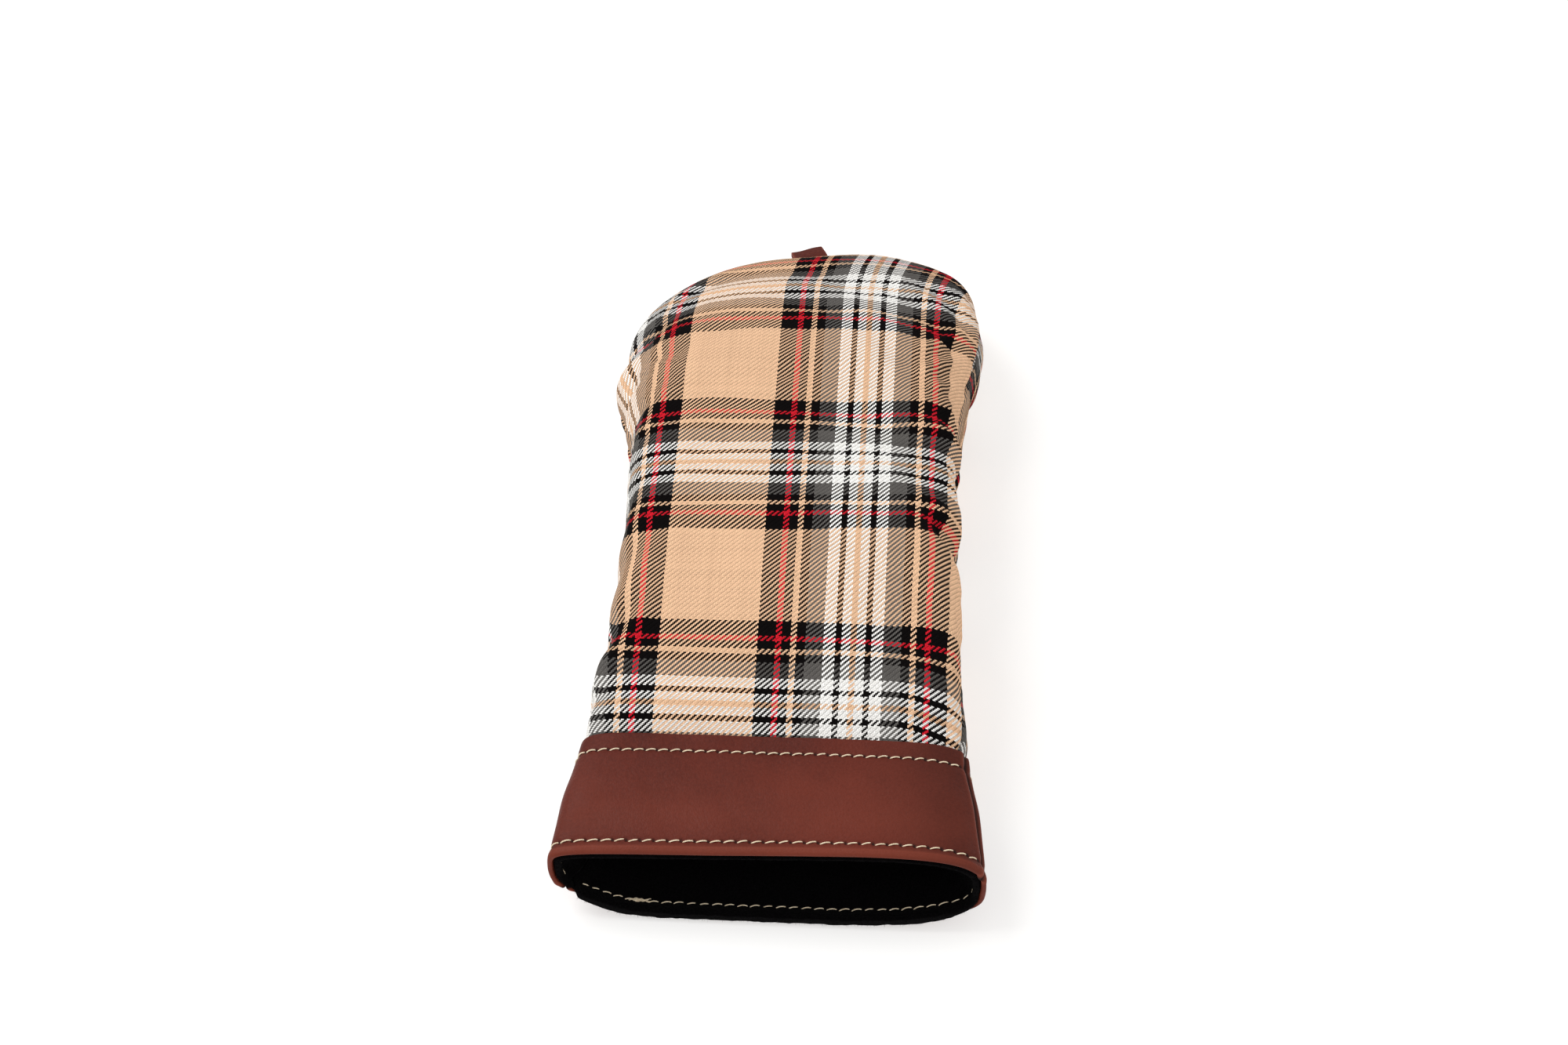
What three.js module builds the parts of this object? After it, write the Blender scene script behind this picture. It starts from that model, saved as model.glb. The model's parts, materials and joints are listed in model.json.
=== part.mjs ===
// Driver head cover: a padded tartan sock with a leather cuff and a small leather
// tab at its crown, lying on its back as it rests on a table.
//
// Millimetres, +Z up. +Y runs from the mouth to the crown and +X to the right when
// looking from the mouth. The origin is on the resting plane, under the middle of
// the body. A "station" is a distance from the mouth, measured along the body.

import * as THREE from 'three';

// ---- driving dimensions ----------------------------------------------------

const HALF_LENGTH = 165;        // from the origin to the mouth rim
const CUFF_DEPTH = 46;          // mouth rim to the cuff's top edge
const LEFT_SHOULDER = 288;      // station where the left side turns into the crown
const RIGHT_SHOULDER = 303;
const SHOULDER = (LEFT_SHOULDER + RIGHT_SHOULDER) / 2;
const CROWN_START_LEFT = 210;   // stations where the body begins to close
const CROWN_START_RIGHT = 218;
const ROW_LEVELNESS = 4;        // rows run level until they near the crown

const MOUTH_LEAN = 3.5;         // how far the whole rim leans out towards the club
const MOUTH_LIP = 2;            // how much further the lower rim reaches
const LEAN_FALLOFF = 8;         // the lean dies away within the first third or so
const CROWN_CLOSING = 2;        // exponents of the curve that closes the crown
const CROWN_FULLNESS = 1.6;
const BACK_SQUARENESS = 3.0;    // superellipse exponent of the back's cross-section
const BACK_FLATNESS = 1.12;     // above 1 gives the back a flat resting area

const GAP = 0.3;                // clearance between neighbouring layers
const LEATHER = 1.8;
const CLOTH = 1.6;
const WADDING = 3.0;
const WADDING_SEWN = 1.6;       // wadding where the cuff stitching squeezes it
const FLEECE = 3.0;
const THREAD = 0.6;             // thickness of the topstitching thread
const SEAM_THREAD = 0.7;

const PANEL_START = 34;         // the cloth runs this far up inside the cuff
const PANEL_CLEAR = 54;         // station where the cloth is fully clear of the cuff
const LINING_START = 1.5;
const TOP_STITCH = 39.5;        // stations of the two topstitched rows
const MOUTH_STITCH = 4.5;
const ELASTIC_START = 172;
const ELASTIC_END = 188;
const ELASTIC_THICKNESS = 1.0;

const TAB_WIDTH = 14;
const TAB_LENGTH = 7.5;
const TAB_THICKNESS = 3.4;      // two layers of leather and the slit between them
const TAB_SLIT = 0.5;
const TAB_PLACE = 0.52;         // how far along the crown, from its left end
const TAB_TURN = 0.15;          // radians the tab is turned from square to the seam

// Seam outline in plan as [x, station]: up the left side, over the crown, down the
// right side. The head leans to the right, so its two shoulders differ.
const LEFT_SIDE = [
  [-79, 0], [-75.4, 23], [-71, 46], [-66.7, 75], [-64.4, 105], [-62.6, 140],
  [-63.4, 175], [-65.4, 208], [-69, 230], [-74, 250], [-73.5, 269], [-68, 288],
];
const CROWN = [[-54.8, 307.2], [-34.2, 322], [-2.4, 332.6], [33.9, 337], [61.2, 325.6]];
const RIGHT_SIDE = [
  [72.2, 303], [75.6, 284], [73.5, 264], [69.6, 245], [66.9, 225], [66.2, 200],
  [66, 170], [66, 140], [68, 105], [70.4, 75], [73.3, 46], [77.2, 23], [80.5, 0],
];

// Heights as [station, z]: the top of the body, its underside and its two side seams.
const TOP_HEIGHT = [[0, 38.5], [20, 43], [46, 47.1], [58, 51.5], [72, 55.4], [90, 59.1],
  [115, 63.5], [145, 66.2], [200, 66.4], [255, 67.4], [330, 65.2]];
const UNDERSIDE = [[0, 1.3], [46, 1.3], [66, 0], [330, 0]];
const LEFT_SEAM_HEIGHT = [[0, 22], [46, 22], [90, 24.5], [160, 26.5], [250, 26.5], [330, 32]];
const RIGHT_SEAM_HEIGHT = [[0, 18], [46, 21], [90, 28], [160, 32], [250, 35], [330, 27]];

// How much higher the top stands at its right edge than at its middle, by station.
const TOP_TILT = [[0, 2.5], [46, 0.6], [110, 0.6], [220, -1.5], [330, -3.5]];

// Superellipse exponents of the front's cross-section, as [station, exponent]: it is
// nearly square over the cuff, and the head's left shoulder falls away in a slope.
const LEFT_SQUARENESS = [[0, 6.5], [46, 8], [100, 7.5], [180, 7], [240, 2.9], [280, 1.75],
  [330, 1.9]];
const RIGHT_SQUARENESS = [[0, 4.2], [46, 6.5], [100, 6], [180, 5.7], [240, 5.3], [280, 4.6],
  [330, 4.6]];

// Every layer is meshed on the same rows and columns, so facets of neighbouring
// layers run parallel and the gaps between them stay open.
const ROWS = [0, LINING_START, MOUTH_STITCH, 20, PANEL_START, TOP_STITCH, CUFF_DEPTH,
  PANEL_CLEAR, 66, 84, 108, 140, ELASTIC_START, ELASTIC_END, 214, 236, 254, 268, 279,
  288, 292.5, SHOULDER];
const COLUMNS = 18;
const COLUMN_CROWDING = 0.75;    // below 1 crowds the columns towards the two seams
const BISECTIONS = 40;          // steps of the search for a station on the outline

// ---- the bag's shape -------------------------------------------------------

const outlinePoints = [...LEFT_SIDE, ...CROWN, ...RIGHT_SIDE];
const lastPoint = outlinePoints.length - 1;
const LEFT_SHOULDER_T = (LEFT_SIDE.length - 1) / lastPoint;
const RIGHT_SHOULDER_T = (LEFT_SIDE.length + CROWN.length) / lastPoint;
const outline = new THREE.CatmullRomCurve3(
  outlinePoints.map(([x, station]) => new THREE.Vector3(x, station, 0)),
  false, 'catmullrom', 0.5);

// Straight-line look-up in a list of [station, value] pairs.
function lookUp(table, station) {
  let k = 0;
  while (k < table.length - 2 && station > table[k + 1][0]) k += 1;
  const [s0, v0] = table[k];
  const [s1, v1] = table[k + 1];
  return v0 + (v1 - v0) * THREE.MathUtils.clamp((station - s0) / (s1 - s0), 0, 1);
}

// Height of the line where front meets back, between its two sides.
function seamHeight(across, station) {
  return THREE.MathUtils.lerp(
    lookUp(LEFT_SEAM_HEIGHT, station), lookUp(RIGHT_SEAM_HEIGHT, station), across);
}

// The outline parameter, between two limits, at which the outline reaches a station.
function outlineParameter(station, mouthEnd, crownEnd) {
  let low = mouthEnd;
  let high = crownEnd;
  for (let step = 0; step < BISECTIONS; step += 1) {
    const middle = (low + high) / 2;
    if (outline.getPoint(middle).y < station) low = middle;
    else high = middle;
  }
  return (low + high) / 2;
}

// A point of the seam outline, moved inwards by a depth.
function insetOutline(t, depth) {
  const point = outline.getPoint(t);
  const tangent = outline.getTangent(t);
  return new THREE.Vector2(point.x + tangent.y * depth, point.y - tangent.x * depth);
}

// How far up one side a row reaches: rows stay level near the mouth and tilt to
// meet the two unequal shoulders.
function sideParameter(rowFraction, side) {
  const shoulder = side === 'left' ? LEFT_SHOULDER : RIGHT_SHOULDER;
  const station = SHOULDER * rowFraction + (shoulder - SHOULDER) * rowFraction ** ROW_LEVELNESS;
  if (side === 'left') return outlineParameter(station, 0, LEFT_SHOULDER_T);
  return outlineParameter(station, 1, RIGHT_SHOULDER_T);
}

// A place in the plan of the bag: level rows between the two sides, which take on
// the crown's bow as they near it.
function planPoint(across, rowFraction, depth) {
  const left = insetOutline(sideParameter(rowFraction, 'left'), depth);
  const right = insetOutline(sideParameter(rowFraction, 'right'), depth);
  const crownLeft = insetOutline(LEFT_SHOULDER_T, depth);
  const crownRight = insetOutline(RIGHT_SHOULDER_T, depth);
  const bow = insetOutline(
    THREE.MathUtils.lerp(LEFT_SHOULDER_T, RIGHT_SHOULDER_T, across), depth);
  bow.sub(crownLeft.lerp(crownRight, across));
  return left.lerp(right, across).addScaledVector(bow, rowFraction ** ROW_LEVELNESS);
}

// Where each column lies, from 0 at the left seam to 1 at the right one. Columns
// crowd towards the seams, where the cross-section turns over.
const columns = Array.from({ length: COLUMNS + 1 }, (_, k) => {
  const reach = Math.cos(Math.PI * k / COLUMNS);
  return (1 - Math.sign(reach) * Math.abs(reach) ** COLUMN_CROWDING) / 2;
});

// A point of the front (+1) or back (-1) of the bag. across runs from 0 at the left
// seam to 1 at the right one, depth is measured inwards, and edgeLift keeps the
// piece's sewn edge that far off the seam line.
function bagPoint(face, across, station, depth, edgeLift) {
  const rowFraction = station / SHOULDER;
  const plan = planPoint(across, rowFraction, depth);
  const frontSquareness = across < 0.5 ? LEFT_SQUARENESS : RIGHT_SQUARENESS;
  const squareness = face > 0 ? lookUp(frontSquareness, station) : BACK_SQUARENESS;
  const offCentre = Math.abs(2 * across - 1) ** squareness;
  const roundness = Math.max(0, 1 - offCentre) ** (1 / squareness);

  const crownStart = THREE.MathUtils.lerp(CROWN_START_LEFT, CROWN_START_RIGHT, across);
  const closing = Math.max(0, (station - crownStart) / (SHOULDER - crownStart));
  const crownRoundness = Math.max(0, 1 - closing ** CROWN_CLOSING)
    ** (1 / CROWN_FULLNESS);
  const fullness = roundness * crownRoundness;

  const seam = seamHeight(across, plan.y);
  const top = lookUp(TOP_HEIGHT, plan.y)
    + lookUp(TOP_TILT, plan.y) * Math.sin(Math.PI * (across - 0.5));
  const rise = face > 0
    ? (top - depth - seam) * fullness
    : (seam - lookUp(UNDERSIDE, plan.y) - depth) * Math.min(1, BACK_FLATNESS * fullness);

  const nearMouth = (1 - rowFraction) ** LEAN_FALLOFF;
  const lip = face > 0 ? 0 : MOUTH_LIP * roundness;
  const y = plan.y - HALF_LENGTH - (MOUTH_LEAN + lip) * nearMouth;
  return new THREE.Vector3(plan.x, y, seam + face * Math.max(edgeLift, rise));
}

// ---- mesh building ---------------------------------------------------------

// A mesh whose material is the piece's own finish.
function piece(name, geometry, finish) {
  geometry.computeVertexNormals();
  const mesh = new THREE.Mesh(geometry, new THREE.MeshStandardMaterial(finish));
  mesh.name = name;
  return mesh;
}

function geometryFrom(points, triangles) {
  const geometry = new THREE.BufferGeometry();
  const positions = points.flatMap((point) => [point.x, point.y, point.z]);
  geometry.setAttribute('position', new THREE.Float32BufferAttribute(positions, 3));
  geometry.setIndex(triangles.flat());
  return geometry;
}

// A closed solid swept through rings of the same number of points, each ring wound
// anticlockwise when seen from its start. A loop joins its last ring to its first.
function sweepRings(rings, isLoop) {
  const count = rings[0].length;
  const triangles = [];
  const spans = isLoop ? rings.length : rings.length - 1;
  for (let ring = 0; ring < spans; ring += 1) {
    const next = (ring + 1) % rings.length;
    for (let side = 0; side < count; side += 1) {
      const after = (side + 1) % count;
      const a = ring * count + side;
      const b = ring * count + after;
      const c = next * count + after;
      const d = next * count + side;
      triangles.push([a, b, c], [a, c, d]);
    }
  }
  if (!isLoop) {
    const last = (rings.length - 1) * count;
    for (let side = 1; side < count - 1; side += 1) {
      triangles.push([0, side + 1, side], [last, last + side, last + side + 1]);
    }
  }
  return geometryFrom(rings.flat(), triangles);
}

// A closed sheet of even rows and columns between an outer and an inner skin.
function sheet(face, outerSkin, innerSkin) {
  const rows = outerSkin.length;
  const columns = outerSkin[0].length;
  const skinSize = rows * columns;
  const triangles = [];
  const quad = (a, b, c, d) => {
    if (face > 0) triangles.push([a, b, c], [a, c, d]);
    else triangles.push([a, c, b], [a, d, c]);
  };
  const outer = (row, column) => row * columns + column;
  const inner = (row, column) => skinSize + row * columns + column;
  for (let row = 0; row < rows - 1; row += 1) {
    for (let column = 0; column < columns - 1; column += 1) {
      quad(outer(row, column), outer(row, column + 1),
        outer(row + 1, column + 1), outer(row + 1, column));
      quad(inner(row, column), inner(row + 1, column),
        inner(row + 1, column + 1), inner(row, column + 1));
    }
  }
  const border = [];
  for (let column = 0; column < columns - 1; column += 1) border.push([0, column]);
  for (let row = 0; row < rows - 1; row += 1) border.push([row, columns - 1]);
  for (let column = columns - 1; column > 0; column -= 1) border.push([rows - 1, column]);
  for (let row = rows - 1; row > 0; row -= 1) border.push([row, 0]);
  border.forEach((here, k) => {
    const next = border[(k + 1) % border.length];
    quad(outer(...here), inner(...here), inner(...next), outer(...next));
  });
  return geometryFrom([...outerSkin.flat(), ...innerSkin.flat()], triangles);
}

// One half of a layer of the bag, between two stations and two depth profiles.
function layer(face, { from, to, outer, inner, edgeLift, over = columns }) {
  const stations = ROWS.filter((station) => station >= from && station <= to);
  const skin = (depths) => stations.map((station) => over.map(
    (across) => bagPoint(face, across, station, lookUp(depths, station), edgeLift)));
  return sheet(face, skin(outer), skin(inner));
}

// A thread that runs right round the bag at one station.
function threadRing(station, nearDepth, farDepth) {
  const half = THREAD / 2;
  const corners = [[-half, nearDepth], [half, nearDepth], [half, farDepth], [-half, farDepth]];
  const ringAt = (face, across) => corners.map(
    ([along, depth]) => bagPoint(face, across, station + along, depth, 0));
  const frontRings = columns.map((across) => ringAt(1, across));
  const backRings = columns.slice(1, -1).reverse().map((across) => ringAt(-1, across));
  return sweepRings([...frontRings, ...backRings], true);
}

// A thread along the side seams, through a list of outline parameters.
function seamThread(parameters, depth, thickness) {
  const half = thickness / 2;
  const rings = parameters.map((t) => {
    const at = (extra, lift) => {
      const plan = insetOutline(t, depth + extra);
      const nearMouth = Math.max(0, 1 - plan.y / SHOULDER) ** LEAN_FALLOFF;
      const isLeft = t < LEFT_SHOULDER_T;
      const isRight = t > RIGHT_SHOULDER_T;
      const share = (t - LEFT_SHOULDER_T) / (RIGHT_SHOULDER_T - LEFT_SHOULDER_T);
      const across = isLeft ? 0 : isRight ? 1 : share;
      const seam = seamHeight(across, plan.y);
      const y = plan.y - HALF_LENGTH - MOUTH_LEAN * nearMouth;
      return new THREE.Vector3(plan.x, y, seam + lift);
    };
    return [at(-half, 0), at(0, half), at(half, 0), at(0, -half)];
  });
  return sweepRings(rings, false);
}

// Outline parameters up the left side, over the crown and down the right side.
function seamParameters(from) {
  const stations = ROWS.filter((station) => station >= from);
  const left = stations.map((station) => sideParameter(station / SHOULDER, 'left'));
  const right = stations.map((station) => sideParameter(station / SHOULDER, 'right'));
  const crown = columns.slice(1, -1).map(
    (across) => THREE.MathUtils.lerp(LEFT_SHOULDER_T, RIGHT_SHOULDER_T, across));
  return [...left, ...crown, ...right.reverse()];
}

// ---- layer depths, as [station, depth] -------------------------------------

const constantDepth = (depth) => [[0, depth], [SHOULDER, depth]];
const deeper = (depths, extra) => depths.map(([station, depth]) => [station, depth + extra]);

const clothOuter = [[PANEL_START, LEATHER + GAP], [CUFF_DEPTH, LEATHER + GAP],
  [PANEL_CLEAR, 0], [SHOULDER, 0]];
const clothInner = deeper(clothOuter, CLOTH);
const waddingOuter = deeper(clothInner, GAP);
const waddingInner = waddingOuter.map(([station, depth]) => [station,
  depth + (station <= CUFF_DEPTH ? WADDING_SEWN : WADDING)]);

const boundThreadDepth = waddingInner[0][1] + GAP;
const fleeceBehindCuff = boundThreadDepth + THREAD + GAP;
const fleeceInBody = waddingInner[waddingInner.length - 1][1] + GAP;
const fleeceOuter = [[0, LEATHER + GAP], [20, LEATHER + GAP], [PANEL_START, fleeceBehindCuff],
  [CUFF_DEPTH, fleeceBehindCuff], [PANEL_CLEAR, fleeceInBody], [SHOULDER, fleeceInBody]];
const fleeceInner = deeper(fleeceOuter, FLEECE);

// The back lining bows inwards where the neck elastic lies behind it.
const elasticDepth = fleeceInBody + GAP;
const bowedIn = (depths) => {
  const body = depths[depths.length - 1][1];
  const bow = ELASTIC_THICKNESS + 2 * GAP;
  return [...depths.slice(0, -1), [140, body], [ELASTIC_START, body + bow],
    [ELASTIC_END, body + bow], [214, body], [SHOULDER, body]];
};

// ---- the pieces ------------------------------------------------------------

const TARTAN = { color: 0xc49b70, roughness: 0.92, metalness: 0 };
const FOAM = { color: 0xe8e4dc, roughness: 0.95, metalness: 0 };
const BLACK_FLEECE = { color: 0x0c0b0b, roughness: 1, metalness: 0 };
const BROWN_LEATHER = { color: 0x5a2a20, roughness: 0.5, metalness: 0 };
const CREAM_THREAD = { color: 0xe6dcc4, roughness: 0.8, metalness: 0 };
const WHITE_ELASTIC = { color: 0xeceae6, roughness: 0.85, metalness: 0 };

function outerPanels() {
  const shape = { from: PANEL_START, to: SHOULDER, outer: clothOuter, inner: clothInner,
    edgeLift: GAP / 2 };
  return [
    piece('front_panel', layer(1, shape), TARTAN),
    piece('back_panel', layer(-1, shape), TARTAN),
  ];
}

function paddings() {
  // The wadding is trimmed back from the seam, which leaves room for its threads.
  const trimmed = 0.5;
  const shape = { from: PANEL_START, to: SHOULDER, outer: waddingOuter, inner: waddingInner,
    edgeLift: trimmed };
  return [
    piece('front_padding', layer(1, shape), FOAM),
    piece('back_padding', layer(-1, shape), FOAM),
  ];
}

function linings() {
  const shape = { from: LINING_START, to: SHOULDER, edgeLift: GAP / 2 };
  const front = layer(1, { ...shape, outer: fleeceOuter, inner: fleeceInner });
  const back = layer(-1, {
    ...shape, outer: bowedIn(fleeceOuter), inner: bowedIn(fleeceInner) });
  return [
    piece('front_lining', front, BLACK_FLEECE),
    piece('back_lining', back, BLACK_FLEECE),
  ];
}

function cuffs() {
  const shape = { from: 0, to: CUFF_DEPTH, outer: constantDepth(0),
    inner: constantDepth(LEATHER), edgeLift: THREAD / 2 + GAP };
  const joint = [0, CUFF_DEPTH / 2, CUFF_DEPTH];
  const sideThread = (side) => {
    const parameters = joint.map((station) => sideParameter(station / SHOULDER, side));
    return seamThread(parameters.sort((a, b) => a - b), LEATHER / 2, THREAD);
  };
  return [
    piece('cuff_front', layer(1, shape), BROWN_LEATHER),
    piece('cuff_back', layer(-1, shape), BROWN_LEATHER),
    piece('cuff_seam_thread_left', sideThread('left'), CREAM_THREAD),
    piece('cuff_seam_thread_right', sideThread('right'), CREAM_THREAD),
  ];
}

function topstitching() {
  const proud = -GAP - THREAD;
  const insideMouth = LEATHER + GAP + FLEECE + GAP;
  return [
    piece('cuff_top_thread', threadRing(TOP_STITCH, -GAP, proud), CREAM_THREAD),
    piece('cuff_top_thread_inside',
      threadRing(TOP_STITCH, boundThreadDepth + THREAD, boundThreadDepth), CREAM_THREAD),
    piece('mouth_thread', threadRing(MOUTH_STITCH, -GAP, proud), CREAM_THREAD),
    piece('mouth_thread_inside',
      threadRing(MOUTH_STITCH, insideMouth + THREAD, insideMouth), CREAM_THREAD),
  ];
}

function closingThreads() {
  const clothSeam = CLOTH + GAP + SEAM_THREAD;
  const liningSeam = clothSeam + SEAM_THREAD + 2 * GAP;
  const path = seamParameters(PANEL_CLEAR);
  return [
    piece('body_seam_thread', seamThread(path, clothSeam, SEAM_THREAD), CREAM_THREAD),
    piece('lining_seam_thread', seamThread(path, liningSeam, SEAM_THREAD), CREAM_THREAD),
  ];
}

function neckElastic() {
  const shape = { from: ELASTIC_START, to: ELASTIC_END, outer: constantDepth(elasticDepth),
    inner: constantDepth(elasticDepth + ELASTIC_THICKNESS), edgeLift: 0,
    over: columns.slice(2, -2) };
  return [piece('neck_elastic', layer(-1, shape), WHITE_ELASTIC)];
}

// A folded strip of leather, modelled about its hinge line with the fold outwards.
function crownTab() {
  const radius = TAB_THICKNESS / 2;
  const slit = TAB_SLIT / 2;
  const profile = new THREE.Shape();
  profile.moveTo(0, slit);
  profile.lineTo(0, radius);
  profile.lineTo(TAB_LENGTH - radius, radius);
  profile.absarc(TAB_LENGTH - radius, 0, radius, Math.PI / 2, -Math.PI / 2, true);
  profile.lineTo(0, -radius);
  profile.lineTo(0, -slit);
  profile.lineTo(TAB_LENGTH - 2 * radius, -slit);
  profile.lineTo(TAB_LENGTH - 2 * radius, slit);
  profile.closePath();
  const geometry = new THREE.ExtrudeGeometry(profile, {
    depth: TAB_WIDTH, bevelEnabled: false, curveSegments: 10 });
  geometry.translate(0, 0, -TAB_WIDTH / 2);
  geometry.rotateX(Math.PI / 2);

  const t = THREE.MathUtils.lerp(LEFT_SHOULDER_T, RIGHT_SHOULDER_T, TAB_PLACE);
  const standOff = -(radius + 2 * GAP);
  const root = insetOutline(t, standOff);
  const tangent = outline.getTangent(t);
  const tab = piece('crown_tab', geometry, BROWN_LEATHER);
  tab.position.set(root.x, root.y - HALF_LENGTH, seamHeight(TAB_PLACE, root.y));
  tab.rotation.z = Math.atan2(tangent.x, -tangent.y) + TAB_TURN;
  return [tab];
}

const headCover = new THREE.Group();
headCover.add(
  ...outerPanels(),
  ...paddings(),
  ...linings(),
  ...cuffs(),
  ...topstitching(),
  ...closingThreads(),
  ...neckElastic(),
  ...crownTab(),
);

export default headCover;
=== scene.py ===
# Driver head cover: the looks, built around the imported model.
# The cover lies on its back, mouth towards the camera and crown away from it.

import json
import math

import bpy
import numpy as np
from mathutils import Matrix, Vector


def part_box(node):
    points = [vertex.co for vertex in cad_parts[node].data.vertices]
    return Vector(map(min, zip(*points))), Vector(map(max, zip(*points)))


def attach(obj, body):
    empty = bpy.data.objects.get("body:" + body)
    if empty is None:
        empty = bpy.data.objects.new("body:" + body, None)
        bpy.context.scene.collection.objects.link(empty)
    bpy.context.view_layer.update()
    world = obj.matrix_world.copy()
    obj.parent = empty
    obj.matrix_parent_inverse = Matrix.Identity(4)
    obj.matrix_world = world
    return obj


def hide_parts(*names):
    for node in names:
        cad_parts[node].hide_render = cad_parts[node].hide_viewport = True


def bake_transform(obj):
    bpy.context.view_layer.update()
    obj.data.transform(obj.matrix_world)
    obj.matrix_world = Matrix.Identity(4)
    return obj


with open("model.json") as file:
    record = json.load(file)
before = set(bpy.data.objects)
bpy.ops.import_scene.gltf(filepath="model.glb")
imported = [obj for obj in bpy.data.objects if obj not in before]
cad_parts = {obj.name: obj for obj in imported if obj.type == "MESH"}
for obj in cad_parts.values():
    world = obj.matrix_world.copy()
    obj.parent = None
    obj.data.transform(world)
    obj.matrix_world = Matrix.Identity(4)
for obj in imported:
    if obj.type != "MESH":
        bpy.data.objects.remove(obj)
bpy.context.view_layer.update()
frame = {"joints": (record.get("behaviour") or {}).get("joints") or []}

MM = 0.001


# ---- curves and small helpers

def smooth_profile(table):
    """A smooth curve through (station, value) pairs, as a function of station, that
    never swings beyond the values it passes through."""
    stations, values = np.array(table, float).T
    slopes = np.gradient(values, stations)
    rises = np.diff(values) / np.diff(stations)
    before, after = np.append(rises[0], rises), np.append(rises, rises[-1])
    limit = 3 * np.minimum(np.abs(before), np.abs(after)) * (before * after > 0)
    slopes = np.sign(slopes) * np.minimum(np.abs(slopes), limit)

    def at(station):
        station = np.clip(station, stations[0], stations[-1])
        k = np.clip(np.searchsorted(stations, station) - 1, 0, len(stations) - 2)
        span = stations[k + 1] - stations[k]
        t = (station - stations[k]) / span
        rising = t * t * (3 - 2 * t)
        start_slope = slopes[k] * span * t * (1 - t) ** 2
        end_slope = slopes[k + 1] * span * t * t * (t - 1)
        return values[k] * (1 - rising) + values[k + 1] * rising + start_slope + end_slope

    return at


def smoothstep(low, high, value):
    t = np.clip((value - low) / (high - low), 0, 1)
    return t * t * (3 - 2 * t)


def bell(distance, width):
    return np.exp(-(distance / width) ** 2)


def unit(vectors):
    return vectors / np.maximum(np.linalg.norm(vectors, axis=-1, keepdims=True), 1e-9)


def smooth_noise(u, v, seed):
    """Smooth random height over a plane, between -1 and 1, with features of size 1."""
    lattice = np.random.default_rng(seed).uniform(-1, 1, (64, 64))
    row, column = np.floor(u).astype(int), np.floor(v).astype(int)
    fu, fv = smoothstep(0, 1, u - row), smoothstep(0, 1, v - column)

    def corner(i, j):
        return lattice[(row + i) % 64, (column + j) % 64]

    near = corner(0, 0) * (1 - fu) + corner(1, 0) * fu
    far = corner(0, 1) * (1 - fu) + corner(1, 1) * fu
    return near * (1 - fv) + far * fv


# ---- driving values, in millimetres, as in the CAD model

CUFF_DEPTH = 46
LEFT_SHOULDER = 288
RIGHT_SHOULDER = 303
SHOULDER = (LEFT_SHOULDER + RIGHT_SHOULDER) / 2
CROWN_START_LEFT = 210
CROWN_START_RIGHT = 218
CROWN_CLOSING = 2
CROWN_FULLNESS = 1.6
ROW_LEVELNESS = 4
MOUTH_LEAN = 3.5
MOUTH_LIP = 2
LEAN_FALLOFF = 8
BACK_SQUARENESS = 3.0
BACK_FLATNESS = 1.12
HALF_LENGTH = round(-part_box("cuff_front")[0].y / MM - MOUTH_LEAN)

LEFT_SIDE = [
    (-79, 0), (-75.4, 23), (-71, 46), (-66.7, 75), (-64.4, 105), (-62.6, 140),
    (-63.4, 175), (-65.4, 208), (-69, 230), (-74, 250), (-73.5, 269), (-68, 288),
]
CROWN = [(-54.8, 307.2), (-34.2, 322), (-2.4, 332.6), (33.9, 337), (61.2, 325.6)]
RIGHT_SIDE = [
    (72.2, 303), (75.6, 284), (73.5, 264), (69.6, 245), (66.9, 225), (66.2, 200),
    (66, 170), (66, 140), (68, 105), (70.4, 75), (73.3, 46), (77.2, 23), (80.5, 0),
]
top_height = smooth_profile([
    (0, 38.5), (20, 43), (46, 47.1), (58, 51.5), (72, 55.4), (90, 59.1), (115, 63.5),
    (145, 66.2), (200, 66.4), (255, 67.4), (330, 65.2)])
top_tilt = smooth_profile([(0, 2.5), (46, 0.6), (110, 0.6), (220, -1.5), (330, -3.5)])
underside = smooth_profile([(0, 1.3), (46, 1.3), (66, 0), (330, 0)])
left_seam_height = smooth_profile([
    (0, 22), (46, 22), (90, 24.5), (160, 26.5), (250, 26.5), (330, 32)])
right_seam_height = smooth_profile([
    (0, 18), (46, 21), (90, 28), (160, 32), (250, 35), (330, 27)])
left_squareness = smooth_profile([
    (0, 6.5), (46, 8), (100, 7.5), (180, 7), (240, 2.7), (280, 1.6), (330, 1.9)])
right_squareness = smooth_profile([
    (0, 4.2), (46, 6.5), (100, 6), (180, 5.7), (240, 5.3), (280, 4.6), (330, 4.6)])

# The panels sit slightly turned on the body: the left seam has slipped under the
# side, and the right seam has come up over it. Distances round the body, by station.
left_seam_slip = smooth_profile([(0, 9.5), (46, 9), (120, 7), (250, 5), (SHOULDER, 0)])
right_seam_rise = smooth_profile([
    (0, 11), (20, 17), (46, 20), (62, 18), (92, 10), (120, 7), (190, 8), (235, 11),
    (275, 9), (SHOULDER, 0)])

LEATHER = 1.8
CLOTH = 1.6
OUTSIDE_LOWEST = 0.05  # how near the floor the outer pieces come
TOP_STITCH = 39.5
MOUTH_STITCH = 4.5


# ---- the bag's shape

outline_points = np.array(LEFT_SIDE + CROWN + RIGHT_SIDE, float)
LAST = len(outline_points) - 1
LEFT_CORNER = len(LEFT_SIDE) - 1
RIGHT_CORNER = LEFT_CORNER + len(CROWN) + 1
SIDE_SAMPLES = 1500
CROWN_SAMPLES = 900
SECTION_SAMPLES = 241
SECTION_CROWDING = 0.6  # crowds a section's samples towards its middle


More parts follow.
